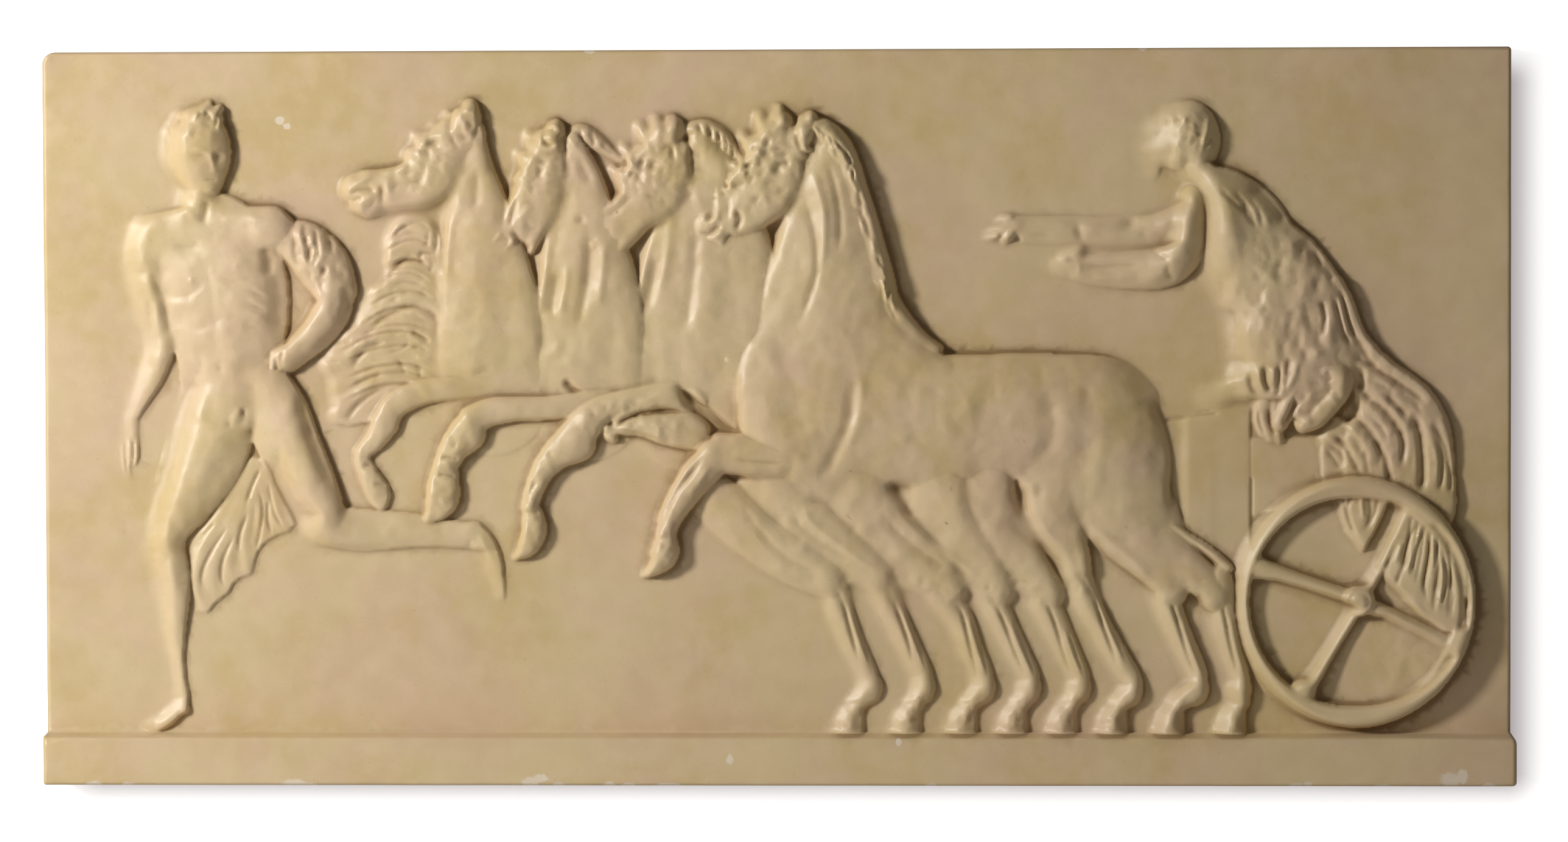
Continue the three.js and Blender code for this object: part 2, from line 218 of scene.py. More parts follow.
def settle(layer, sigma):
    """Softens a layer's surface and keeps its outline crisp."""
    there = (layer > NOTHING + 1).astype(np.float32)
    top = np.where(there > 0, layer, 0).astype(np.float32)
    weight = blur(there, sigma)
    return np.where(there > 0, blur(top, sigma) / np.maximum(weight, 1e-3), NOTHING).astype(np.float32)


def between(a, b, share, aside=0.0):
    """A point at a share of the way from one place to another, and aside to the right of that way."""
    return [a[0] + (b[0] - a[0]) * share + (b[1] - a[1]) * aside,
            a[1] + (b[1] - a[1]) * share - (b[0] - a[0]) * aside]


def laid_over(ground, layer, melt=8, wall=0.1):
    """Lays a layer over what is there. Its outline is smooth, and towards the left, where the modelling is
    soft, it melts into the ground over melt millimetres; wall is the share of its height that stands up
    at that edge."""
    there = layer > NOTHING + 1
    mask = there.astype(np.float32)
    soft = blur(mask, 1.0)
    top = blur(np.where(there, layer, 0).astype(np.float32), 1.0) / np.maximum(soft, 1e-3)
    top = np.where(there, layer, top)
    edge = smooth_step((soft - 0.15) / 0.7)
    run = np.cumsum(mask, axis=1)
    before = np.zeros_like(run)
    before[:, melt:] = run[:, :-melt]
    lit = blur((run - before) / melt, 1.4)
    ramp = wall + (1 - wall) * smooth_step(lit)
    return (ground + np.maximum(top - ground, 0) * edge * ramp).astype(np.float32)


def smooth_step(t):
    t = np.clip(t, 0, 1)
    return t * t * (3 - 2 * t)


def strokes(layer, lines, width, high, **more):
    for line in lines:
        stroke(layer, line, width, high, **more)


# The runner
def runner():
    body = blank()
    # neck, chest, belly and hips
    form(body, [[103, 380, 20, 8], [104, 398, 16, 10], [105, 412, 15, 10]], wall=0.12)
    form(body, [[112, 374, 32, 9], [120, 358, 42, 12.5], [125, 338, 43.5, 14], [127, 316, 41, 14],
                [127, 298, 36, 13], [125, 278, 31, 12], [125, 260, 28, 12]], lean=0.15, wall=0.12, power=1.8)
    form(body, [[80, 372, 20, 8], [108, 377, 19, 9.5], [140, 379, 16, 12], [156, 379, 15, 13.5]], wall=0.12)
    form(body, [[156, 379, 16, 13.5], [160, 378, 14, 13.5]], wall=0.25)
    # the front leg, from the hip down
    form(body, [[120, 262, 27, 11.5], [115, 240, 29, 13], [107, 218, 27, 13], [95, 196, 22, 12],
                [84, 178, 17, 10.5], [81, 162, 15, 10], [84, 146, 15, 10], [86, 130, 13.5, 10], [86, 112, 11, 9],
                [87, 92, 8, 7.5], [89, 74, 6.5, 6.5], [91, 60, 7, 6.5]], lean=0.12, wall=0.06, power=1.8)
    form(body, [[91, 56, 6.5, 6.5], [85, 48, 7, 6], [77, 42, 6.5, 5.5], [69, 38, 5, 4.5]], wall=0.12)
    form(body, [[92, 58, 5, 6.5], [94, 51, 4, 6]], wall=0.15, soft=2)
    # the back leg, bent at the knee
    form(body, [[150, 272, 20, 12], [160, 252, 22, 14], [168, 232, 21.5, 15], [177, 212, 20.5, 15.5],
                [187, 194, 17, 14.5], [191, 185, 15, 13]], lean=0.3, wall=0.2, power=1.8)
    form(body, [[188, 178, 16, 10], [205, 174, 15, 7.5], [225, 173, 14, 6], [250, 173, 12, 5], [272, 171, 10, 4.5],
                [290, 169, 9, 4.5]], wall=0.08)
    form(body, [[294, 170, 9, 5], [300, 163, 9, 5], [305, 152, 8.5, 5], [308, 140, 7, 4.5], [311, 129, 5, 4]],
         wall=0.3, soft=2)
    # the arm at the left hangs down
    form(body, [[68, 376, 14, 6.5], [66, 362, 14.5, 8], [68, 345, 13.5, 8], [72, 325, 13, 7.5],
                [77, 310, 12.5, 7.5], [78, 297, 12, 7]], wall=0.1, soft=2)
    form(body, [[78, 297, 12, 7], [72, 281, 11, 6.5], [65, 266, 8.5, 6], [59, 253, 6.5, 5.5]], wall=0.12)
    form(body, [[58, 251, 6, 5], [58, 240, 6.5, 5], [57, 230, 7, 4.6]], wall=0.15)
    form(body, [[61, 236, 3, 4.6], [62, 226, 2.6, 4], [61, 219, 2.2, 3.6]], wall=0.25, soft=1)
    form(body, [[56, 228, 4, 4.4], [55, 217, 3.4, 4], [57, 209, 2.6, 3.4]], wall=0.25, soft=1)
    form(body, [[52, 230, 3, 4], [50, 220, 2.6, 3.6], [53, 212, 2.2, 3.2]], wall=0.25, soft=1)
    body = settle(body, 1.8)
    # chest and belly
    lumps(body, ((97, 357, 15, 12, 1.1, 10), (133, 361, 16, 12, 1.3, -5), (103, 327, 10, 6, 0.5, 0),
                 (133, 330, 10, 7, 0.5, 0), (110, 304, 9, 7, 0.5, 0), (130, 305, 8, 9, 0.7, 0),
                 (130, 287, 7, 8, 0.8, 0), (112, 288, 9, 6, 0.4, 0), (122, 284, 2, 2.2, -0.7, 0),
                 (103, 344, 2.2, 2.0, 1.0, 0), (134, 353, 2.0, 1.8, 0.6, 0)))
    strokes(body, ([[82, 340], [88, 334], [97, 333], [106, 338], [112, 346]],
                   [[118, 352], [126, 345], [137, 344], [147, 348]],
                   [[90, 369], [101, 367], [110, 371]]), 3.0, -0.8)
    strokes(body, ([[113, 360], [115, 345], [118, 330], [119, 312], [120, 296]],
                   [[100, 316], [108, 312], [118, 315], [126, 319], [136, 319], [144, 313]],
                   [[97, 300], [103, 284], [112, 276], [122, 268]]), 3.2, -0.6)
    # the side under the arm, with the ribs
    strokes(body, ([[152, 368], [156, 356], [154, 346]],), 4.0, -2.6)
    strokes(body, ([[156, 352], [162, 338], [163, 322], [161, 306]],), 6.5, -2.4)
    lumps(body, ((148, 339, 6, 2.4, 0.8, -25), (148, 330, 6, 2.2, 0.8, -25), (147, 321, 6, 2.2, 0.7, -25),
                 (149, 334.5, 6, 2, -0.7, -25), (149, 325.5, 6, 2, -0.7, -25), (146, 312, 5, 2.4, -0.5, -20)))
    # shoulders and neck
    lumps(body, ((147, 386, 5, 3, 0.9, -20), (142, 381, 4, 3, -0.5, 0), (150, 377, 5, 5, 0.5, 0), (64, 372, 7, 9, 0.5, 0),
                 (68, 350, 6, 5, -1.6, 0), (76, 372, 6, 8, -0.4, 0)))
    strokes(body, ([[122, 385], [136, 388], [150, 390]], [[92, 404], [99, 394], [107, 385]]), 2.6, 0.7)
    stroke(body, [[114, 400], [113, 392], [110, 382]], 3.0, -1.8)
    strokes(body, ([[75, 352], [78, 342], [82, 333]], [[83, 332], [85, 320], [86, 306]], [[73, 334], [73, 320], [74, 306]]),
            2.2, -0.9)
    stroke(body, [[79, 332], [79, 318], [80, 304]], 2.4, 0.6)
    # leg muscles
    strokes(body, ([[140, 246], [130, 226], [116, 204], [102, 186]],), 8, -1.4)
    stroke(body, [[176, 270], [181, 248], [190, 222], [200, 198]], 4.6, -2.8, taper=0.25)
    strokes(body, ([[92, 150], [93, 130], [91, 108], [91, 86]],), 4.0, -1.0)
    strokes(body, ([[84, 92], [84, 78], [87, 62]], [[80, 48], [75, 42], [72, 36]]), 2.2, -1.6)
    strokes(body, ([[92, 84], [93, 70], [94, 58]],), 2.0, 0.9)
    lumps(body, ((82, 168, 7, 7, 0.6, 0), (85, 155, 3, 4, -0.8, 0), (90, 140, 5, 10, 0.5, 0), (186, 180, 8, 7, 0.8, 0),
                 (197, 166, 6, 4, -0.5, 0)))
    strokes(body, ([[196, 163], [215, 161], [240, 160]],), 3.0, -0.8)
    strokes(body, ([[292, 168], [293, 156], [300, 142]],), 2.4, -1.3)
    strokes(body, ([[299, 172], [303, 160], [309, 146]],), 2.4, 0.9)
    # the groin
    lumps(body, ((133, 250, 4, 3.6, 1.8, 0), (141, 246, 3.2, 3.4, 1.6, 0), (135, 255, 2.6, 2.4, 1.0, 0),
                 (138, 254, 1.6, 2.6, -1.6, 0), (143, 240, 2, 3.4, -1.4, 0), (128, 246, 2, 3, -0.8, 0)))
    # hand lines
    strokes(body, ([[60, 238], [61.5, 228], [60, 214]], [[55.5, 236], [55.5, 224], [57.5, 209]],
                   [[52, 230], [52, 221], [54, 211]]), 1.0, -2.4)
    strokes(body, ([[58, 236], [58.5, 226], [58.5, 212]], [[53.7, 233], [53.5, 222], [55.5, 210]]), 1.0, 1.3)
    stroke(body, [[63, 252], [64, 240], [62, 230]], 1.6, -1.2)
    return body


def runner_head():
    head = blank()
    form(head, [[112, 411, 12, 11], [109, 420, 18, 13.5], [105, 431, 25, 15.5], [104, 438, 24.5, 15.5]], wall=0.22,
         power=1.9)
    forms(head, ([[92, 454, 6, 9], [104, 459, 6, 10], [113, 459, 6, 11], [120, 454, 5, 11]],
                 [[106, 461, 4, 8], [108, 465, 3, 6]], [[113, 461, 4, 9], [114, 465, 3, 7]],
                 [[119, 457, 4, 10], [122, 461, 3, 8]]), wall=0.2, soft=4)
    head = settle(head, 1.4)
    # the face turns to the right: brow, nose, lips and chin at even thirds, of a plain standard type
    strokes(head, ([[104, 432], [110, 433.4], [116, 431.6], [121, 433], [126, 431.4]],), 1.9, 0.8)
    lumps(head, ((116, 438, 9, 6, 0.8, 0), (110, 428.6, 3.8, 2.4, -1.5, 0), (122.5, 428, 2.8, 2.4, -1.5, 0),
                 (110, 428, 2.0, 1.2, 0.8, 0), (122.5, 427.6, 1.6, 1.1, 0.8, 0), (108, 418, 6, 5, 0.8, 0),
                 (119.4, 419.4, 2.2, 1.6, 1.2, 0), (117, 412.2, 4.4, 2.2, 0.7, 0), (116, 405.4, 4.0, 2.4, 0.9, 0)))
    stroke(head, [[117, 431.6], [118.4, 426], [119.4, 420.4]], 1.7, 1.5, taper=0.2)
    strokes(head, ([[112.6, 413.4], [117, 412.8], [121, 413.2]],), 1.1, -1.1)
    stroke(head, [[90, 420], [96, 410], [106, 402]], 2.8, 0.6)
    lumps(head, ((89, 424, 2.8, 4.8, 0.9, 8), (89.4, 424, 1.3, 2.6, -0.9, 8), (84, 416, 3, 5, -0.7, 0)))
    # short hair brushed to the side, in soft clumps
    tufts(head, [[82, 436], [87, 449], [98, 457], [110, 459], [121, 454], [125, 446]], 4, 61, 64, 2.8, 0.95)
    return head


def runner_cloak_arm():
    arm = blank()
    form(arm, [[166, 372, 13, 10], [179, 366, 18, 11.5], [191, 353, 20, 12], [199, 338, 16.5, 12.5]], wall=0.14,
         power=1.8)
    form(arm, [[200, 337, 14.5, 12.5], [196, 322, 14.5, 12.5], [187, 309, 13, 12], [176, 299, 11.5, 11.5],
               [167, 291, 10.5, 11]], lean=-0.1, wall=0.16, power=1.8)
    form(arm, [[165, 292, 9.5, 11], [158, 288, 9, 10], [154, 281, 6.5, 8.5]], wall=0.2)
    arm = settle(arm, 1.4)
    # cloth wound about the upper arm
    strokes(arm, ([[177, 384], [179, 372], [182, 356], [183, 342]], [[184, 382], [186, 368], [187, 350]],
                  [[190, 378], [192, 366], [191, 352]]), 2.0, 0.9)
    strokes(arm, ([[180, 384], [182, 370], [185, 352]], [[187, 381], [190, 368], [192, 356]],
                  [[194, 380], [198, 370], [200, 360]], [[174, 378], [174, 362], [177, 350]]), 1.7, -1.2)
    tufts(arm, [[178, 376], [186, 362], [190, 348], [186, 334]], 9, 62, 54, 3.0, 0.75)
    lumps(arm, ((206, 348, 3, 4, -1.2, 20), (209, 336, 3, 9, -1.4, 0), (200, 352, 3, 5, -0.8, 20),
                (195, 330, 6, 8, 0.6, 0), (184, 318, 7, 5, 0.6, -40)))
    strokes(arm, ([[212, 340], [210, 326], [204, 312], [194, 302], [184, 294]],), 3.4, -1.4)
    strokes(arm, ([[155, 296], [156, 289], [155, 282]], [[160, 292], [161, 286], [160, 279]],
                  [[166, 297], [164, 290], [163, 283]]), 1.3, -1.3)
    lumps(arm, ((157, 297, 4, 3, 0.8, 0), (158, 286, 1.6, 4, 0.7, 0), (163, 287, 1.6, 4, 0.7, 0)))
    return arm


def lower_cloak():
    cloth = blank()
    area(cloth, [[138, 224], [151, 222], [158, 205], [166, 190], [173, 177], [163, 171], [152, 166], [146, 158],
                 [141, 143], [130, 139], [126, 130], [118, 125], [111, 116], [103, 118], [97, 150], [104, 172],
                 [122, 200]], 3.5)
    for stations in (
        [[142, 218, 5, 4], [125, 190, 7, 5], [108, 160, 8, 5.5], [103, 138, 7, 5], [106, 122, 4, 4]],
        [[144, 216, 4, 4], [131, 188, 6, 5.5], [119, 160, 6.5, 5.5], [114, 140, 6, 5], [117, 128, 4, 4]],
        [[146, 216, 4, 4], [136, 190, 5, 5.5], [128, 165, 5.5, 5.5], [126, 148, 5, 5], [129, 141, 4, 4]],
        [[148, 216, 4, 4], [142, 192, 5, 5.5], [137, 170, 5, 5], [138, 154, 5, 4.5], [139, 146, 4, 4]],
        [[150, 214, 4, 4], [148, 192, 5, 5.5], [148, 175, 5, 5], [150, 168, 4, 4]],
        [[152, 212, 4, 4], [157, 192, 5, 5.5], [162, 178, 5, 5], [166, 174, 3, 4]],
    ):
        form(cloth, stations, wall=0.1, soft=1.0)
    cloth = settle(cloth, 0.9)
    strokes(cloth, [
        [[149, 217], [143, 204], [138, 190]],
        [[147, 203], [150, 186], [147, 168], [144, 158]],
        [[153, 207], [158, 185], [165, 173]],
        [[154, 196], [153, 182], [156, 170]],
        [[127, 178], [114, 158], [108, 145], [107, 132]],
        [[131, 172], [122, 152], [121, 140], [124, 133]],
        [[140, 186], [134, 170], [133, 158]],
        [[118, 180], [108, 168], [102, 158]],
    ], 1.1, -2.4)
    return cloth


def flying_cloak():
    cloth = blank()
    area(cloth, [[196, 252], [190, 296], [212, 318], [222, 334], [231, 340], [232, 369], [239, 382], [247, 389],
                 [266, 386], [273, 374], [276, 300], [276, 276], [262, 262], [244, 262], [236, 250], [208, 244], [202, 248]], 3.6)
    forms(cloth, (
        [[200, 252, 7, 4], [210, 262, 7, 5.2], [222, 270, 7, 5.4], [236, 278, 6, 4]],
        [[199, 270, 6, 4], [212, 276, 6, 4.6], [226, 282, 6, 4.6], [240, 286, 5, 3.8]],
        [[194, 286, 7, 4], [208, 294, 8, 5.4], [220, 302, 8, 6], [236, 309, 8, 6], [252, 311, 8, 5.6], [264, 306, 6, 5]],
        [[206, 304, 6, 4.4], [218, 313, 6, 5], [226, 320, 6, 5]],
        [[228, 322, 6, 4], [242, 330, 7, 5.4], [256, 332, 7, 5.4], [270, 326, 5, 4.6]],
        [[226, 334, 6, 4], [236, 340, 6, 5.4], [250, 346, 7, 5], [264, 342, 6, 4.4]],
        [[237, 346, 5, 4], [238, 358, 6, 6], [246, 366, 7, 5.6], [258, 368, 7, 5.2], [268, 366, 5, 4.6]],
        [[236, 366, 5, 4.4], [241, 378, 6, 6.4], [250, 384, 6, 6], [262, 380, 7, 6], [268, 372, 5, 5.4]],
    ), wall=0.1, soft=2.5)
    cloth = settle(cloth, 1.3)
    strokes(cloth, (
        [[211, 284], [216, 291], [222, 297], [228, 300], [235, 301]],
        [[218, 307], [226, 311], [232, 317], [241, 322], [251, 326], [259, 326], [267, 321], [271, 314], [269, 304]],
        [[207, 247], [212, 255], [219, 262], [228, 268], [237, 271]],
    ), 1.9, -2.4)
    strokes(cloth, (
        [[233, 371], [232.5, 360], [233, 348], [233, 338]],
        [[235, 371], [238, 379], [243, 385], [250, 388]],
        [[235, 344], [242, 352], [249, 358], [258, 358.5]],
        [[260, 354], [260, 362], [270, 362]],
        [[265, 384], [270, 379], [270, 368], [268, 360]],
        [[252, 310], [259, 306], [266, 301]],
    ), 1.7, -2.2)
    strokes(cloth, (
        [[241, 374], [246, 379], [252, 382]],
        [[265, 378], [264, 370], [262, 366]],
        [[243, 291], [246, 285], [248, 279]],
        [[252, 297], [258, 299], [264, 296]],
        [[254, 285], [258, 283], [258, 277]],
        [[191, 292], [197, 289], [204, 289]],
        [[200, 301], [206, 301], [212, 301]],
        [[206, 310], [212, 312], [217, 317]],
        [[236, 328], [246, 334], [258, 335], [266, 332]],
        [[240, 341], [250, 343], [262, 340]],
        [[212, 272], [222, 277], [234, 281]],
        [[236, 295], [246, 297], [252, 303]],
        [[266, 358], [267, 353], [264, 350]],
        [[226, 350], [227, 356], [226, 362]],
    ), 1.5, -1.3)
    # fine ripples that arch over to the right
    rng = np.random.default_rng(14)
    for i in range(13):
        z = 258 + i * 9.2 + rng.uniform(-2, 2)
        left = 202 + max(0, z - 290) * 0.36 + rng.uniform(-3, 8)
        arch = rng.uniform(9, 16)
        ripple = [[left, z], [left + (270 - left) * 0.35, z + arch * 0.8], [left + (270 - left) * 0.7, z + arch],
                  [269, z + arch * 0.45]]
        stroke(cloth, ripple, rng.uniform(0.9, 1.4), -rng.uniform(1.0, 1.9))
        stroke(cloth, [[x + 0.6, z + 2.4] for x, z in ripple], rng.uniform(0.9, 1.3), rng.uniform(0.7, 1.2))
    strokes(cloth, (
        [[240, 354], [245, 359], [252, 363]],
        [[236, 352], [237, 360], [240, 366]],
        [[214, 266], [220, 270], [228, 274]],
        [[208, 290], [216, 299], [226, 304]],
        [[249, 321], [257, 322], [265, 317]],
        [[250, 307], [256, 304], [261, 300]],
        [[255, 292], [261, 290], [266, 292]],
        [[240, 347], [252, 350], [262, 347]],
        [[240, 382], [246, 384], [254, 384]],
    ), 1.9, 1.1)
    return cloth


def lumps(layer, rows):
    for x, z, half_x, half_z, high, turn in rows:
        bump(layer, x, z, half_x, half_z, high, turn)


def forms(layer, many, **more):
    for stations in many:
        form(layer, stations, **more)


def curl(layer, x, z, radius, width, high, start=0, end=360):
    """A ridge or groove bent round a centre, between two angles in degrees."""
    turns = np.radians(np.linspace(start, end, 9))
    stroke(layer, [[x + radius * np.cos(a), z + radius * np.sin(a)] for a in turns], width, high, taper=0.12)


# Horses
def horse_one_head():
    head = blank()
    form(head, [[285, 438, 8, 11], [274, 425, 15, 12.5], [264, 414, 19, 13], [249, 408, 16, 12], [233, 406, 14, 11],
                [220, 406, 13.5, 10.5], [212, 406, 10, 9]], lean=0.2, wall=0.35, power=2.6)
    form(head, [[214, 396, 6, 9], [222, 392, 6, 8.5], [230, 394, 6, 8]], wall=0.35, soft=3)
    forms(head, ([[250, 428, 6, 8], [262, 435, 8, 10.5], [275, 441, 9, 12], [284, 446, 7, 12]],
                 [[258, 438, 5, 8.5], [255, 443, 3.5, 6]], [[268, 443, 5, 9], [267, 449, 3.5, 6]],
                 [[277, 449, 5, 10], [277, 457, 3.5, 7]]), wall=0.2, soft=4)
    form(head, [[290, 438, 9, 12], [291, 452, 10.5, 13], [292, 460, 8, 12]], wall=0.3, soft=2)
    head = settle(head, 1.1)
    # ear: a thick rim round a knob
    curl(head, 291, 452, 8, 2.0, 1.4)
    lumps(head, ((290, 450, 4.5, 5, 1.6, 25), (296, 449, 3, 3, -1.2, 0), (290, 441, 3, 4, -2.4, 25),
                 (293, 464, 4, 2, -0.8, 0), (297, 441, 3, 4, 0.9, 0)))
    stroke(head, [[286, 461], [281, 454], [280, 446], [283, 438], [287, 432]], 1.5, -2.0)
    # forelock
    tufts(head, [[253, 430], [263, 438], [276, 446]], 6, 51, 26)
    lumps(head, ((264, 432, 4, 2.6, -1.6, -30), (271, 436, 5, 2.6, -1.2, 0), (266, 438, 2, 4, 1.0, 25),
                 (272, 444, 1.8, 5, 0.8, 0)))
    # brow, nose and the plane of the cheek
    strokes(head, ([[258, 428], [246, 422], [232, 417]],), 3.2, 1.0)
    strokes(head, ([[237, 406], [247, 409], [258, 412], [266, 414]],), 3.0, -1.3)
    strokes(head, ([[240, 398], [249, 398], [257, 400]],), 2.6, -0.9)
    stroke(head, [[258, 405], [262, 402], [270, 400]], 2.4, 0.6)
    lumps(head, ((229, 425, 4, 2.4, -0.9, 0), (256, 430, 4, 2, -0.8, 0), (252, 418, 5, 2.6, -0.7, 20)))
    # muzzle: nostril, lips, tongue and chin
    lumps(head, ((217, 416, 5, 3.2, -2.6, 40), (210, 416, 2.6, 4, 0.7, 0), (213, 406, 4, 2.6, 1.2, 20)))
    strokes(head, ([[213, 410], [220, 412], [228, 416]], [[217, 394], [222, 398], [229, 402]]), 2.0, 1.3)
    strokes(head, ([[210, 402], [217, 405], [224, 406], [230, 404]], [[208, 399], [214, 399], [221, 400]],
                   [[214, 400], [215, 396], [218, 392]]), 1.8, -2.0)
    stroke(head, [[220, 389], [226, 394], [230, 399]], 1.6, -1.9)
    # cheek strap down to the bit
    stroke(head, [[233, 410], [234, 402], [234, 395], [236, 387]], 1.7, -2.4)
    stroke(head, [[238, 416], [238, 408], [240, 400]], 2.2, 0.8)
    return head


def horse_two_head():
    head = blank()
    form(head, [[349, 434, 9, 11], [345, 420, 14, 12.5], [340, 406, 18, 13], [335, 395, 19, 13], [325, 383, 14, 12],
                [315, 375, 11.5, 11], [307, 370, 9, 9.5]], lean=0.2, wall=0.35, power=2.6)
    form(head, [[346, 390, 9, 12], [339, 377, 6.5, 11], [333, 364, 4, 9.5]], wall=0.35, soft=3)
    form(head, [[312, 370, 6, 9.5], [319, 362, 5.5, 9], [322, 356, 4, 7.5]], wall=0.35, soft=2)
    forms(head, ([[326, 412, 6, 9], [334, 422, 8, 11], [340, 432, 8, 11.5], [342, 440, 6, 11]],
                 [[334, 436, 5, 8.5], [332, 444, 3.6, 6]], [[328, 424, 5, 8], [325, 430, 3.4, 6]]), wall=0.2, soft=4)
    form(head, [[350, 432, 8, 12], [350, 442, 9.5, 13.5], [351, 447, 7, 12.5]], wall=0.3, soft=2)
    head = settle(head, 1.1)
    curl(head, 350, 441, 8, 2.0, 1.8)
    lumps(head, ((350, 440, 3.6, 4.4, 1.4, 0), (357, 439, 2.2, 5.5, -2.2, -15), (351, 430, 4, 2, -1.6, 0)))
    curl(head, 350, 441, 5.6, 1.3, -2.4, 60, 300)
    stroke(head, [[353, 430], [354, 420], [353, 410]], 2.0, -1.2)
    # brow, eye and forelock
    lumps(head, ((341.5, 416, 2.6, 4.2, -2.4, 0), (337, 407, 2.4, 3, -1.4, 0), (344, 424, 4, 2.2, -1.4, 0),
                 (336, 423, 3, 3, 1.2, 0), (332, 431, 2, 2, -1.2, 0), (338, 440, 2, 4, -1.0, 20),
                 (325, 410, 3, 1.6, -1.2, 0), (332, 412, 3, 3, 0.9, 0)))
    tufts(head, [[328, 417], [334, 428], [339, 439]], 5, 52, 24)
    # long bone of the nose
    strokes(head, ([[329, 418], [322, 406], [316, 394], [311, 384]], [[323, 404], [321, 393], [319, 384]],
                   [[336, 396], [330, 388], [326, 384]]), 2.4, 1.1)
    strokes(head, ([[319, 407], [317, 400], [313, 394], [309, 387]], [[326, 400], [323, 390], [321, 380]]), 1.7, -1.6)
    # muzzle and chin
    stroke(head, [[299, 366], [306, 364.5], [313, 365], [318, 370], [320, 375]], 2.0, -2.6)
    strokes(head, ([[303, 371], [310, 371], [316, 377]], [[316, 362], [321, 367], [326, 373]]), 1.9, 1.5)
    lumps(head, ((310, 380, 2.6, 2, -1.8, 30), (305, 375, 3, 3, 1.0, 0), (320, 356, 2.4, 1.6, -1.6, 20),
                 (314, 358, 2.6, 2.4, 0.9, 0)))
    stroke(head, [[322, 379], [327, 371], [331, 363], [332, 358]], 2.4, -2.8)
    stroke(head, [[331, 384], [336, 379], [342, 380]], 2.2, -1.0)
    return head


def horse_three_head():
    head = blank()
    form(head, [[433, 430, 11, 12], [427, 415, 18, 13], [418, 403, 20, 13.5], [404, 392, 17, 13], [391, 383, 14, 12],
                [379, 377, 12.5, 11], [370, 373, 10, 10]], lean=0.2, wall=0.35, power=2.6)
    form(head, [[377, 370, 7, 10], [384, 364, 6.5, 10], [388, 358, 4, 8.5]], wall=0.35, soft=2)
    form(head, [[410, 384, 8, 12], [399, 370, 6, 11], [393, 361, 4, 10]], wall=0.35, soft=3)
    forms(head, ([[396, 408, 6, 9], [406, 420, 9, 11.5], [416, 432, 10, 12.5], [424, 442, 8, 13]],
                 [[401, 427, 5.5, 8.5], [397, 434, 4, 6]], [[412, 440, 6, 9.5], [408, 448, 4.4, 6.5]],
                 [[421, 448, 5, 10], [419, 453, 4, 8]], [[393, 414, 5, 8], [390, 419, 3.6, 6]]), wall=0.2, soft=4)
    form(head, [[430, 436, 7, 13], [434, 446, 6.5, 14], [431, 452, 4.5, 12]], wall=0.3, soft=2)
    head = settle(head, 1.1)
    lumps(head, ((438, 443, 3.0, 5.5, -3.2, 0), (432, 431, 1.8, 5, -3.0, 8), (430, 446, 3, 3.6, 1.2, 0),
                 (427, 452, 4, 1.4, -1.4, 0), (424, 444, 3, 3, 1.2, 0)))
    # forelock and eye
    tufts(head, [[396, 414], [407, 427], [416, 440], [424, 447]], 7, 53, 40)
    lumps(head, ((418, 421, 2.6, 3.6, -2.4, 0), (411.5, 424, 2, 4.2, -1.8, -10), (408.5, 415, 2.2, 4, -1.6, 0),
                 (414, 415, 3, 3, 1.0, 0), (403, 414, 3, 3, 1.0, 0), (396, 408, 2, 2, -1.2, 0),
                 (393, 401, 3, 2.4, 0.9, 0), (386, 397, 2, 2, -1.0, 0)))
    # nose and cheek
    strokes(head, ([[402, 408], [393, 398], [383, 391], [373, 387]],), 2.8, 1.2)
    strokes(head, ([[405, 402], [396, 393], [386, 386]],), 2.2, -1.0)
    stroke(head, [[424, 405], [421, 396], [419, 388]], 2.4, -0.8)
    lumps(head, ((441, 404, 2.6, 8, -1.2, 0), (401, 384, 6, 4, -0.9, 0), (427, 416, 5, 6, 0.6, 0)))
    # muzzle: nostril, curled lip and bared jaw
    lumps(head, ((367.5, 383, 2.8, 4, -2.6, -15), (373, 383, 3, 3, 1.0, 0), (363, 378, 2, 3, 0.8, 0)))
    curl(head, 371, 369, 4, 1.3, -1.8)
    lumps(head, ((371, 369, 2.4, 2.4, 1.2, 0), (378, 366, 3, 3.6, 1.4, -20), (383, 371, 2, 3, 1.0, 0)))
    strokes(head, ([[364, 376], [370, 374], [377, 377], [382, 380]], [[385, 371], [382, 363], [379, 355]]), 1.5, -1.7)
    stroke(head, [[387, 380], [388, 371], [391, 363], [395, 357]], 2.0, -2.6)
    return head


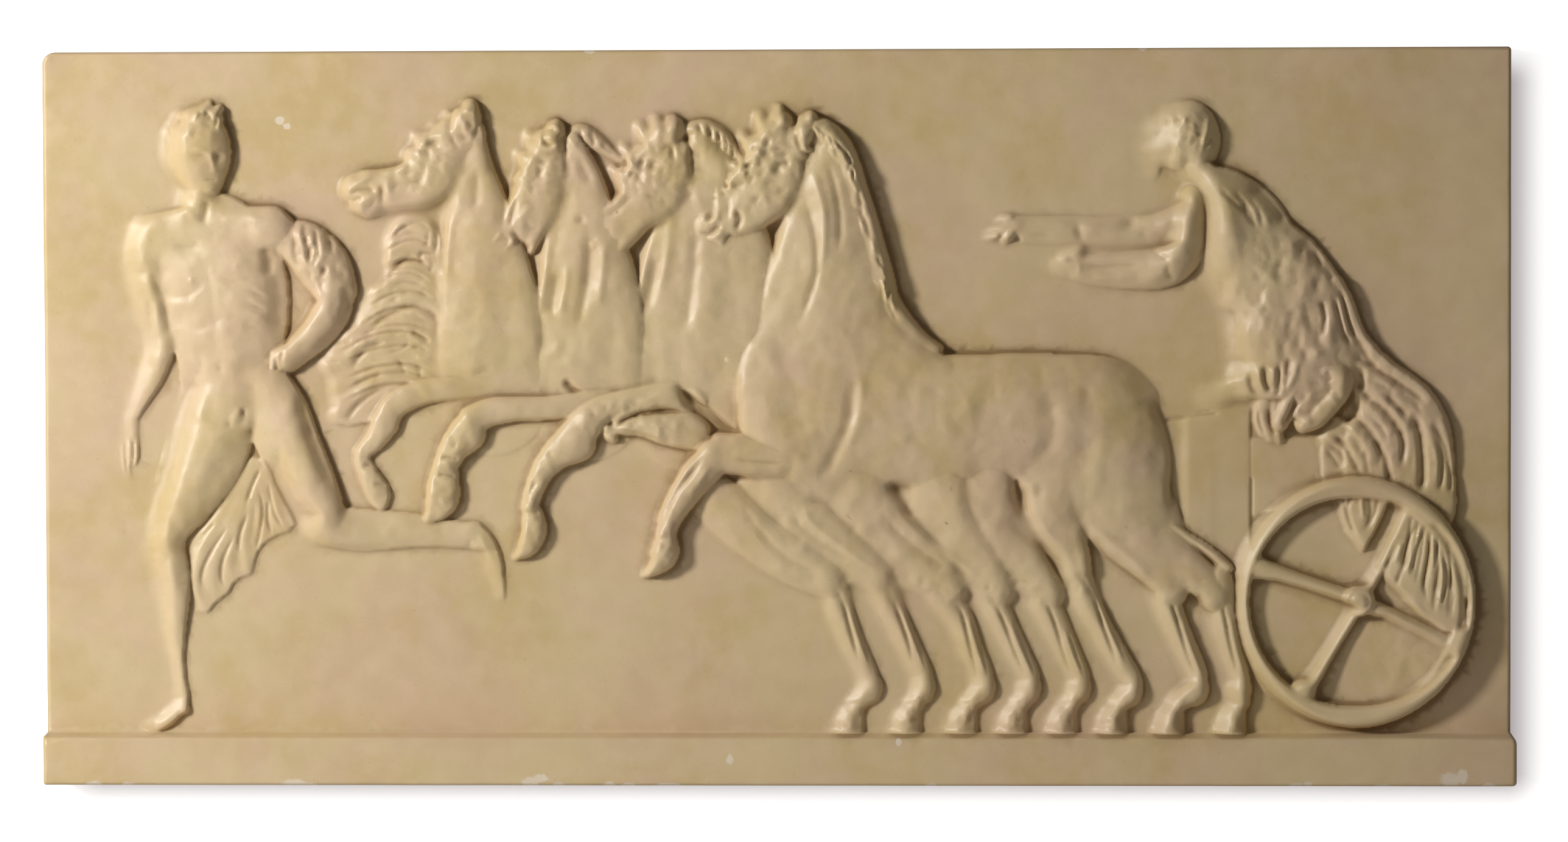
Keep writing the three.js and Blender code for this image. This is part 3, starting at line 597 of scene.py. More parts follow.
def horse_four_head():
    head = blank()
    form(head, [[509, 436, 13, 14.5], [503, 419, 19, 15.5], [495, 404, 20.5, 16], [483, 393, 17, 15.5],
                [471, 386, 14, 14.5], [460, 382, 12.5, 13.5], [454, 381, 9.5, 12]], lean=0.2, wall=0.35, power=2.8)
    form(head, [[461, 373, 6, 13], [467, 369, 6, 12.5], [469, 364, 4, 11]], wall=0.35, soft=2)
    forms(head, ([[462, 398, 7, 12], [474, 410, 9, 14], [486, 424, 10.5, 15], [497, 438, 11, 15.5], [506, 449, 9, 15.5]],
                 [[492, 446, 6, 12], [490, 454, 5, 8.5]], [[482, 434, 6, 11], [478, 441, 4.6, 8]],
                 [[472, 420, 6, 10.5], [468, 427, 4.4, 7.5]], [[462, 406, 5, 9.5], [458, 411, 4, 7]],
                 [[503, 454, 6, 13], [503, 459, 4.6, 11]]), wall=0.2, soft=4)
    form(head, [[520, 432, 8, 16], [523, 443, 9, 17], [524, 452, 7, 15.5]], wall=0.3, soft=2)
    head = settle(head, 1.1)
    # ears
    curl(head, 524, 440, 8.5, 1.8, 1.6, 90, 330)
    stroke(head, [[517, 446], [517, 438], [521, 431], [530, 427]], 1.8, -2.8)
    stroke(head, [[533, 447], [531, 441], [528, 436], [523, 433]], 2.6, -3.4)
    lumps(head, ((521, 441, 3.4, 4, 1.8, 0), (524, 452, 6, 3.6, -2.2, -15), (508, 453, 4, 4, 1.4, 0),
                 (503, 458, 3, 2.4, -1.8, 30), (510, 445, 2, 3, -2.6, 0), (515, 450, 2, 5, -1.2, 0)))
    # forelock
    tufts(head, [[464, 404], [476, 418], [488, 434], [498, 448], [505, 455]], 8, 54, 60, 3.2, 1.3)
    lumps(head, ((497, 437, 2, 2.4, -1.2, 0), (492, 423, 2, 3, -1.2, 0), (501, 429, 2.4, 2.4, 1.0, 0),
                 (483, 417, 2.4, 2.4, -1.0, 0), (475, 408, 3, 2, -1.2, 20), (467, 403, 2.4, 2, -1.2, 0),
                 (470, 410, 2.4, 2.4, 1.2, 0), (462, 401, 3, 2.4, 1.0, 0), (478, 401, 3, 3, 0.9, 0)))
    # eye under its brow, and the flat cheek
    stroke(head, [[502, 415], [506, 421], [513, 424]], 3.0, -2.8)
    lumps(head, ((507, 420, 2, 1.6, 1.3, 35), (498, 419, 3, 4, 1.0, 0), (508, 429, 2.6, 4, -1.0, 0),
                 (497, 409, 2.6, 3, -1.2, 0)))
    stroke(head, [[484, 388], [487, 396], [495, 404]], 2.6, -1.0)
    # muzzle
    lumps(head, ((453, 386, 2.6, 2.6, 1.6, 0), (458, 388, 2.2, 4.6, -2.8, -15), (455, 393, 3, 1.8, -1.4, 20),
                 (463, 390, 2.4, 5, 1.2, -10), (470, 393, 2, 5, -1.2, 0), (473, 388, 2, 4, 1.0, 0)))
    strokes(head, ([[449, 376], [456, 375], [462, 379], [466, 381]],), 1.8, -2.6)
    strokes(head, ([[453, 380], [460, 384], [466, 387]], [[455, 371], [462, 373], [467, 378]]), 1.9, 1.2)
    strokes(head, ([[465, 363], [469, 369], [473, 376]], [[475, 392], [478, 385], [475, 377]]), 2.0, -2.4)
    return head


def tufts(layer, line, width, seed, count, size=3.0, high=1.1):
    """Soft clumps of hair, some raised and some sunk, scattered along a line of [x, z]."""
    p = spline(line)
    rng = np.random.default_rng(seed)
    for i in range(count):
        x, z = p[int(rng.uniform(0, len(p) - 1))]
        x += rng.normal(0, 0.45) * width
        z += rng.normal(0, 0.45) * width
        half = size * rng.uniform(0.55, 1.15)
        bump(layer, x, z, half * rng.uniform(0.5, 0.9), half * rng.uniform(0.9, 1.5),
             high * rng.uniform(0.6, 1.2) * (1 if i % 2 else -1.3), rng.uniform(-50, 50))


def horse_one_neck():
    n = blank()
    form(n, [[308, 262, 38, 1.5], [306, 288, 38, 9], [306, 318, 37, 11.5], [302, 350, 32, 12], [298, 384, 25, 12],
             [295, 412, 17, 11], [295, 432, 11, 10.5], [296, 445, 8, 10]], lean=-0.45, wall=0.3)
    n = settle(n, 1.6)
    strokes(n, ([[290, 428], [289, 410], [283, 392], [279, 370], [277, 340]],), 3.4, 1.1)
    strokes(n, ([[299, 422], [298, 405], [296, 388]], [[305, 440], [309, 428], [312, 415]]), 3.4, -1.2)
    lumps(n, ((316, 345, 12, 30, -2.4, 0), (320, 300, 12, 26, -2.4, 0), (286, 320, 7, 16, 0.8, 0),
              (296, 285, 9, 9, 1.0, 0), (300, 281, 5, 2.6, -1.2, 20), (285, 297, 6, 5, 0.7, 0)))
    return n


def horse_two_neck():
    n = blank()
    form(n, [[371, 260, 40, 1.5], [371, 288, 42, 9.5], [372, 318, 40, 12], [371, 350, 34, 12], [367, 382, 27, 12],
             [366, 405, 20, 11], [365, 425, 12, 10.5], [362, 437, 8, 10]], lean=-0.45, wall=0.3)
    n = settle(n, 1.6)
    # crest with its low mane
    m = blank()
    form(m, [[360, 444, 4, 5], [369, 444, 6, 6.5], [379, 438, 6, 6.5], [389, 430, 4, 5], [396, 425, 3, 4]],
         wall=0.2, soft=2)
    m = settle(m, 1.0)
    strokes(m, ([[368, 447], [370, 441], [369, 436]], [[376, 445], [378, 439], [379, 433]],
                [[383, 437], [388, 432], [393, 429]]), 1.5, -1.6)
    n = np.maximum(n, m)
    strokes(n, ([[349, 378], [346, 358], [343, 336], [338, 312]], [[361, 356], [358, 336], [354, 316]],
                [[386, 372], [384, 350], [381, 324]]), 3.0, 1.3)
    strokes(n, ([[353, 352], [351, 335], [347, 318]], [[376, 378], [374, 352], [371, 330], [366, 308]],
                [[366, 432], [371, 420], [377, 408]]), 3.6, -1.9)
    lumps(n, ((369, 385, 3, 3, -1.6, 0), (343, 290, 8, 8, 1.2, 0), (352, 297, 5, 5, 0.8, 0), (358, 300, 5, 7, -1.0, 0),
              (347, 320, 4, 6, 0.8, 0), (372, 416, 8, 11, -1.2, -25), (388, 300, 10, 30, -2.0, 0), (376, 345, 6, 28, -1.4, 0),
              (345, 268, 3, 5, -0.8, 0), (362, 288, 6, 4, 0.9, 0)))
    strokes(n, ([[357, 277], [361, 271], [368, 266], [373, 266]],), 2.6, -3.6)
    return n


def horse_three_neck():
    n = blank()
    form(n, [[443, 258, 46, 1.5], [446, 286, 52, 9.5], [451, 314, 51, 12], [454, 346, 48, 12], [455, 376, 40, 12],
             [456, 400, 28, 11], [453, 422, 17, 10.5], [448, 437, 10, 10]], lean=-0.45, wall=0.3)
    n = settle(n, 1.6)
    m = blank()
    form(m, [[441, 446, 5, 8], [452, 446, 7, 8.5], [463, 441, 7, 8.5], [471, 432, 5.5, 8], [477, 423, 3.5, 6]],
         wall=0.2, soft=2)
    m = settle(m, 1.0)
    strokes(m, ([[449, 451], [451, 445], [451, 439]], [[456, 450], [458, 443], [457, 437]],
                [[462, 447], [464, 440], [464, 433]], [[467, 443], [469, 436], [469, 430]],
                [[472, 437], [473, 431], [473, 426]]), 1.2, -2.0)
    strokes(m, ([[453, 449], [454, 443], [454, 437]], [[460, 447], [461, 441], [460, 434]],
                [[465, 443], [467, 437], [466, 430]]), 1.2, 1.0)
    n = np.maximum(n, m)
    strokes(n, ([[431, 400], [430, 380], [427, 355], [420, 330]], [[416, 376], [411, 350], [406, 325], [401, 302]],
                [[435, 426], [441, 412], [448, 400], [453, 388]]), 3.2, 1.3)
    strokes(n, ([[448, 388], [447, 362], [444, 334], [440, 305]], [[421, 362], [417, 340], [411, 318]]), 4.2, -1.9)
    lumps(n, ((452, 420, 8, 12, -1.6, 25), (472, 340, 14, 40, -2.4, 0), (436, 335, 7, 30, -1.2, 0), (412, 290, 9, 10, 1.0, 0),
              (425, 300, 6, 8, 0.7, 0), (418, 276, 5, 4, -0.9, 0), (405, 275, 5, 5, 0.8, 0),
              (434, 285, 6, 8, -0.8, 0), (462, 290, 9, 14, -0.8, 0)))
    return n


def near_horse():
    b = blank()
    # neck, chest, barrel and quarters
    form(b, [[532, 250, 60, 15], [534, 275, 60, 16], [534, 300, 55, 16.5], [536, 330, 49, 16.5],
             [537, 360, 40, 16], [536, 390, 32, 15], [537, 412, 25, 14], [537, 430, 18, 13], [532, 442, 12, 12.5]],
         lean=-0.12, wall=0.2, power=1.8)
    form(b, [[500, 285, 26, 14], [499, 262, 27, 15], [508, 240, 28, 15.5], [520, 228, 24, 15]], wall=0.35)
    form(b, [[540, 262, 50, 16], [575, 252, 47, 17], [610, 248, 45, 17.5], [650, 250, 43, 17.5],
             [690, 250, 43, 17.5], [715, 250, 42, 17.5]], wall=0.25, lean=0.1)
    form(b, [[700, 250, 42, 17], [722, 250, 41, 17.5], [732, 240, 40, 17.5], [735, 222, 41, 17.5],
             [736, 205, 37, 17], [738, 192, 34, 16]], wall=0.16, power=1.7)
    form(b, [[575, 300, 20, 14], [598, 288, 14, 13], [612, 281, 12, 12]], wall=0.4, soft=6)
    # thighs down to the hocks
    form(b, [[735, 205, 36, 16], [740, 182, 30, 14.5], [752, 160, 20, 13], [765, 142, 14, 11.5],
             [770, 132, 11.5, 11]], wall=0.35)
    form(b, [[745, 190, 28, 15], [758, 170, 22, 13.5], [776, 152, 15, 12], [792, 138, 12, 11.5],
             [799, 128, 11, 11]], wall=0.35, soft=4)
    form(b, [[702, 222, 32, 14.5], [695, 200, 27, 13.5], [694, 185, 22, 12.5], [698, 169, 15, 11],
             [703, 156, 10.5, 10], [707, 147, 8, 9]], wall=0.25, soft=4)
    # sheath
    form(b, [[668, 206, 5, 10], [676, 200, 6, 10]], wall=0.35, soft=4)
    b = settle(b, 1.4)
    b -= (5.2 * smooth_step((xs - 662) / 100) * smooth_step((zs[:, None] - 120) / 60)).astype(np.float32)
    # neck muscles and throat
    stroke(b, [[526, 422], [531, 405], [535, 388], [535, 368], [533, 350]], 3.0, 1.6)
    stroke(b, [[520, 412], [524, 392], [529, 372], [530, 350], [524, 330], [517, 312]], 2.6, -1.5)
    stroke(b, [[537, 425], [543, 405], [546, 385], [545, 360]], 2.6, -1.5)
    stroke(b, [[512, 395], [508, 370], [500, 345], [492, 320]], 5, 0.9)
    stroke(b, [[520, 330], [512, 305], [505, 285]], 6, -0.8)
    # shoulder, with its edge to the barrel
    bump(b, 535, 245, 14, 12, 1.0)
    bump(b, 498, 262, 9, 22, 0.9)
    bump(b, 515, 235, 14, 7, 0.8)
    bump(b, 525, 224, 5, 5, -1.4, 30)
    # ribs and flank
    for i in range(4):
        stroke(b, [[585 + i * 17, 278], [582 + i * 17, 255], [588 + i * 17, 232]], 4.5, 0.35)
    stroke(b, [[678, 275], [688, 258], [690, 242], [684, 226], [670, 210]], 5.0, -1.2, taper=0.3)
    stroke(b, [[698, 262], [703, 240], [700, 218]], 7, 0.7)
    bump(b, 716, 262, 5, 10, -0.9, 15)
    bump(b, 720, 215, 6, 16, 1.0, -10)
    stroke(b, [[738, 284], [752, 268], [761, 248], [763, 225], [758, 198]], 7, -1.3)
    stroke(b, [[757, 266], [768, 246], [773, 224], [773, 204], [769, 184]], 5.0, -4.6, taper=0.25)
    stroke(b, [[712, 178], [728, 166], [744, 152], [760, 137]], 3.2, 1.2)
    stroke(b, [[706, 172], [718, 160], [732, 146]], 4.0, -1.0)
    stroke(b, [[672, 196], [676, 184], [686, 172], [700, 158]], 2.4, 0.9)
    bump(b, 680, 199, 2.4, 3.6, -2.6)
    bump(b, 676, 202, 3.4, 3.0, 1.6)
    # mane: one thick band of strands along the crest
    m = blank()
    form(m, [[528, 448, 6, 14], [538, 442, 8.5, 14.5], [546, 431, 9, 14.5], [553, 416, 8, 14], [560, 397, 7.5, 13.5],
             [566, 377, 7.5, 13], [572, 354, 7.5, 13], [577, 334, 7.5, 12.5], [587, 317, 7, 11], [600, 303, 6, 10],
             [612, 296, 4, 9]], wall=0.15, soft=2, power=2)
    m = settle(m, 0.8)
    rng = np.random.default_rng(8)
    for i in range(11):
        x = 528.5 + i * 2.5 + rng.uniform(-0.7, 0.7)
        z = 450 - (i ** 1.4) * 0.95 + rng.uniform(-1, 1)
        long = rng.uniform(0.7, 1.25)
        stroke(m, [[x - 1, z - 2], [x + 2.5, z - 8 * long], [x + 3 + rng.uniform(-1, 2), z - 16 * long]],
               rng.uniform(0.9, 1.4), rng.uniform(1.3, 2.1))
        stroke(m, [[x + 0.5, z - 2], [x + 4, z - 8 * long], [x + 4.4 + rng.uniform(-1, 2), z - 15 * long]],
               rng.uniform(0.8, 1.2), -rng.uniform(1.2, 2.0))
    for i in range(26):
        t = rng.uniform(0, 1)
        x, z = 548 + 34 * t ** 1.1 + rng.uniform(-5, 4), 426 - 108 * t
        long = rng.uniform(8, 17)
        stroke(m, [[x - 1, z + long / 2], [x + rng.uniform(-0.5, 2), z], [x + rng.uniform(0.5, 4.5), z - long / 2]],
               rng.uniform(0.9, 1.5), rng.uniform(1.0, 1.9) * (1 if i % 2 else -1.2))
    return soft_max(b, m, 4)


def leg(upper, lower, hoof, marks=(), grooves=()):
    """A foreleg thrown forward: forearm to the knee, cannon to the fetlock, and the hoof."""
    out = blank()
    form(out, upper, wall=0.35)
    form(out, lower, wall=0.4)
    form(out, hoof, wall=0.4, soft=1.5)
    out = settle(out, 1.0)
    lumps(out, marks)
    strokes(out, grooves, 1.6, -1.6)
    return out


def leg_one():
    return leg([[306, 274, 9, 4], [282, 271, 8.5, 6.5], [258, 267, 9, 8.5], [241, 259, 9.5, 9.5], [234, 249, 10, 10]],
               [[233, 246, 10.5, 10], [226, 235, 8, 8.5], [217, 226, 6, 7]],
               [[217, 222, 6, 7], [222, 210, 8, 7.5], [228, 199, 9, 7.5], [230, 192, 6, 6]],
               ((234, 258, 5, 6, 1.2, 0), (232, 240, 4, 5, 0.8, 0), (224, 214, 4, 3, 0.8, 0), (221, 204, 4, 5, 0.6, 0)),
               ([[218, 217], [225, 218], [232, 215]], [[226, 204], [231, 205], [236, 203]]))


def leg_two():
    return leg([[386, 262, 9, 5], [352, 257, 8.5, 8], [326, 256, 8.5, 9.5], [306, 254, 10, 10], [293, 248, 11, 11]],
               [[290, 240, 13.5, 11], [281, 230, 11, 10], [275, 219, 9.5, 9.5]],
               [[274, 214, 10, 9], [273, 203, 12, 10], [272, 194, 12, 10], [266, 185, 7, 7], [260, 180, 3, 5]],
               ((291, 251, 5, 6, 1.8, 0), (281, 222, 5, 5, 1.0, 0), (272, 207, 5, 3, -1.2, 0), (276, 236, 4, 5, 0.7, 0),
                (265, 195, 4, 7, 0.8, 0)),
               ([[270, 211], [277, 211], [284, 209]], [[272, 223], [279, 223], [286, 221]]))


def leg_three():
    return leg([[436, 270, 8, 5], [410, 263, 9, 8.5], [390, 258, 9.5, 10], [376, 251, 12, 11], [366, 240, 13.5, 11]],
               [[364, 234, 15, 11], [352, 226, 11.5, 10.5], [342, 215, 9, 10], [335.5, 201, 7.5, 9.5],
                [332, 189, 7, 9.5]],
               [[334, 184, 8, 9.5], [335, 173, 9.5, 10], [331, 163, 8, 9], [325, 157, 4, 7], [322, 154, 2, 5]],
               ((372, 250, 5, 6, 1.4, 0), (362, 228, 6, 5, 0.8, 0), (334, 190, 4, 3, 1.0, 0), (329, 172, 4, 7, 0.8, 0),
                (347, 222, 5, 4, 0.6, 30)),
               ([[328, 186], [334, 185], [341, 186]], [[338, 210], [334, 200], [330, 192]]))


def leg_bundle():
    """Two lower legs that cross between the second and third horses, one over the other."""
    out = blank()
    form(out, [[446, 262, 9, 6], [424, 264, 8.5, 8.5], [404, 257, 6.5, 8.5], [392, 250, 5, 8], [384, 250, 3.5, 6]],
         wall=0.35)
    form(out, [[390, 236, 4, 7], [384, 240, 3.6, 6.5], [384, 247, 3.4, 6.5]], wall=0.35, soft=1)
    out = settle(out, 1.0)
    near = blank()
    form(near, [[444, 240, 13, 9], [426, 242, 11, 10.5], [410, 244, 7.5, 10], [397, 243.5, 5.5, 9.5],
                [387, 243, 4.5, 8.5]], wall=0.35)
    near = settle(near, 1.0)
    out = np.maximum(out, near)
    strokes(out, ([[383, 251], [388, 246], [393, 244], [400, 249], [412, 254], [428, 257]],
                  [[384, 240], [392, 241], [404, 240], [418, 236], [430, 232]]), 1.5, -2.0)
    lumps(out, ((421, 238, 2.6, 7, 1.4, 0), (428, 232, 2.4, 4, -1.0, 0), (434, 244, 3, 8, 0.8, 0),
                (389, 245, 2.4, 2.4, -1.6, 0), (394, 237, 2.4, 2, 1.0, 0), (410, 262, 5, 3, 0.8, 0)))
    return out


def leg_four():
    out = leg([[535, 226, 18, 11], [512, 224, 16.5, 14.5], [488, 224, 15.5, 15.5], [463, 226, 14, 15.5]],
              [[457, 222, 14, 15.5], [445, 208, 12.5, 15], [435, 194, 11, 14.5], [428, 182, 9.5, 14],
               [425, 172, 8.5, 13.5]],
              [[425, 168, 8.5, 14], [424, 158, 11, 14], [420, 151, 8, 12], [413, 144.5, 4, 9], [410, 142, 2, 6]],
              ((455, 228, 7, 8, 1.0, 0), (418, 172, 4, 7, 0.8, 0), (416, 158, 4, 7, 0.8, 0), (470, 234, 8, 3, 0.8, 0)))
    strokes(out, ([[453, 224], [445, 213], [436, 202], [429, 190], [424, 178], [421, 170]],), 1.8, -2.4)
    strokes(out, ([[447, 226], [438, 212], [429, 198], [422, 184]], [[458, 218], [449, 206], [441, 196]]), 2.2, 1.2)
    strokes(out, ([[416, 168], [423, 167], [430, 170]], [[450, 236], [460, 235], [475, 236]],
                  [[470, 222], [490, 220], [510, 219]]), 1.8, -1.1)
    return out


def hind_leg(inner, outer, hoof_right, rise):
    """A hind leg from the hock to the ground. inner and outer are the lines of [x, z] on either side of the
    tendon behind the cannon; the outer one is the leg's right edge."""
    out = blank()
    girths = np.interp(np.linspace(0, 1, len(outer)), [0, 0.4, 0.75, 1], [13, 10.5, 9.5, 10.5])
    rises = np.interp(np.linspace(0, 1, len(outer)), [0, 0.4, 0.8, 1], [1, 0.92, 0.9, 0.95]) * rise
    form(out, [[x - w, z, w, r] for (x, z), w, r in zip(outer, girths, rises)], lean=0.15, wall=0.12)
    fetlock = outer[-1]
    middle = hoof_right - 13
    form(out, [[fetlock[0] - 9, fetlock[1] + 2, 9.5, rise * 0.95], [middle + 7, GROUND + 23, 8.5, rise * 0.9]],
         wall=0.25, soft=3)
    form(out, [[middle + 4, GROUND + 19, 8.5, rise * 0.9], [middle + 2, GROUND + 12, 10.5, rise],
               [middle, GROUND + 4, 12.5, rise], [middle - 1, GROUND - 4, 13, rise]], wall=0.16, soft=3, power=2.1)
    out = settle(out, 1.1)
    stroke(out, inner, 1.3, -2.3, taper=0.25)
    beside = [[(a[0] + b[0]) / 2 + 0.5, (a[1] + b[1]) / 2] for a, b in zip(inner[1:], outer[1:])]
    stroke(out, beside, 1.2, 1.1, taper=0.2)
    stroke(out, [[x + 2.4, z - 1] for x, z in beside], 0.9, -0.9, taper=0.3)
    bump(out, fetlock[0] - 5, fetlock[1] + 3, 4.5, 5.5, 1.0)
    bump(out, fetlock[0] - 14, fetlock[1] + 2, 4, 6, 0.6)
    stroke(out, [[middle - 8, GROUND + 22], [middle + 2, GROUND + 20.5], [middle + 12, GROUND + 23]], 1.6, -1.5)
    bump(out, middle + 9, GROUND + 23, 4, 3.4, 1.3)
    bump(out, middle - 3, GROUND + 13, 5, 5, 1.2)
    bump(out, middle + 9, GROUND + 10, 2.4, 4, -1.2)
    bump(out, middle + 4, GROUND + 6, 3, 4, 0.9)
    bump(out, middle - 7, GROUND + 6, 2.4, 4, -1.0)
    return out


HIND_LEGS = (
    ([[536, 139], [546, 125], [552, 104], [558, 82]], [[550, 138], [554, 116], [561, 96], [569, 77], [573, 64]], 561, 6.5),
    ([[573, 142], [581, 125], [590, 101], [595, 80]], [[582, 138], [589, 117], [598, 96], [607, 76], [609, 64]], 600,
     7),
    ([[617, 130], [627, 118], [633, 95], [638, 72]], [[625, 128], [635, 112], [641, 94], [648, 76], [650, 64]], 638,
     7),
    ([[646, 130], [655, 114], [663, 92], [671, 72]], [[656, 131], [663, 112], [672, 92], [680, 74], [681, 64]], 672,
     7),
    ([[682, 131], [691, 110], [697, 88], [703, 72]], [[693, 126], [701, 106], [708, 89], [714, 74], [715, 64]], 706,
     7),
    ([[703, 148], [716, 130], [725, 105], [735, 76]], [[715, 148], [720, 128], [729, 108], [740, 88], [750, 70],
                                                      [750, 62]], 740, 9.5),
    ([[766, 136], [774, 112], [781, 88], [788, 70]], [[776, 136], [779, 115], [786, 96], [794, 76], [795, 63]], 779,
     10.5),
    ([[796, 142], [805, 120], [810, 95], [816, 72]], [[812, 138], [813, 116], [817, 94], [823, 74], [824, 63]], 821,
     10.5),
)


def thighs():
    """The far horses' thighs, each laid over the one behind it and rising at its left edge."""
    out = blank()
    bands = (
        [[446, 206, 16, 5.5], [462, 190, 19, 7], [484, 172, 19, 7.5], [510, 154, 18, 7.6], [534, 140, 14, 7.6]],
        [[494, 212, 20, 9.5], [508, 190, 21, 9], [528, 172, 21, 8.6], [550, 156, 18, 8.2], [570, 141, 12.5, 8]],
        [[548, 212, 26, 11], [558, 188, 26, 9.6], [574, 170, 24, 8.8], [596, 152, 21, 8.4], [618, 132, 13.5, 8]],
        [[610, 212, 24, 11.5], [614, 190, 24, 9.8], [622, 172, 22, 9], [636, 154, 18, 8.4], [652, 132, 12, 8]],
        [[640, 212, 24, 11.5], [642, 190, 24, 10], [652, 170, 22, 9.2], [668, 150, 17, 8.6], [686, 130, 12, 8.2]],
        [[690, 208, 20, 10.5], [692, 186, 20, 9.6], [697, 168, 16, 9], [704, 155, 11, 9], [708, 147, 8, 9]],
    )
    for stations in bands:
        one = blank()
        form(one, stations, lean=0.4, wall=0.15, soft=2)
        one = settle(one, 1.4)
        there = out > NOTHING + 1
        out = np.where(there, laid_over(np.where(there, out, 0), one, 5, 0.2), one)
    strokes(out, (
        [[520, 195], [524, 181], [538, 168], [556, 155], [572, 143]],
        [[580, 192], [590, 179], [608, 164], [628, 150], [646, 134]],
        [[672, 190], [677, 178], [690, 165], [704, 153]],
    ), 1.9, 1.3)
    strokes(out, (
        [[478, 190], [494, 168], [512, 152], [534, 142]],
        [[512, 190], [518, 176], [534, 163], [554, 151]],
        [[572, 186], [584, 172], [604, 156], [626, 142]],
        [[660, 186], [668, 172], [684, 160], [698, 150]],
        [[590, 196], [591, 188], [595, 182]],
    ), 2.8, -1.5)
    lumps(out, ((488, 177, 4, 5, 1.0, 0), (520, 162, 5, 4.4, 1.4, 0), (585, 157, 6, 5, 1.3, 0), (560, 176, 6, 6, 1.0, 0),
                (648, 172, 6, 9, 1.0, 20), (625, 185, 6, 8, 0.9, 20), (528, 193, 4, 1.8, -1.6, 0),
                (612, 174, 5, 6, -0.8, 30), (665, 172, 7, 12, -1.6, 30), (610, 148, 8, 5, -0.8, -35),
                (500, 186, 8, 6, -0.8, -40), (560, 192, 6, 4, -0.7, 0), (536, 188, 4, 3, 0.8, 0)))
    return out


# The driver
def inset(edge, widths, rises):
    """Stations of a form whose outer edge is the given line of [x, z]. Walking along the line, the form lies
    on the right."""
    p = np.array(edge, float)
    way = np.gradient(p, axis=0)
    way /= np.hypot(way[:, 0], way[:, 1])[:, None]
    share = np.linspace(0, 1, len(p))
    w = np.interp(share, np.linspace(0, 1, len(widths)), widths)
    r = np.interp(share, np.linspace(0, 1, len(rises)), rises)
    return np.column_stack([p[:, 0] + way[:, 1] * w, p[:, 1] - way[:, 0] * w, w, r]).tolist()


BACK = [[800, 420], [815, 416], [830, 407], [842, 396], [852, 380], [864, 371], [876, 357], [886, 342], [893, 328],
        [898, 314], [901, 300]]


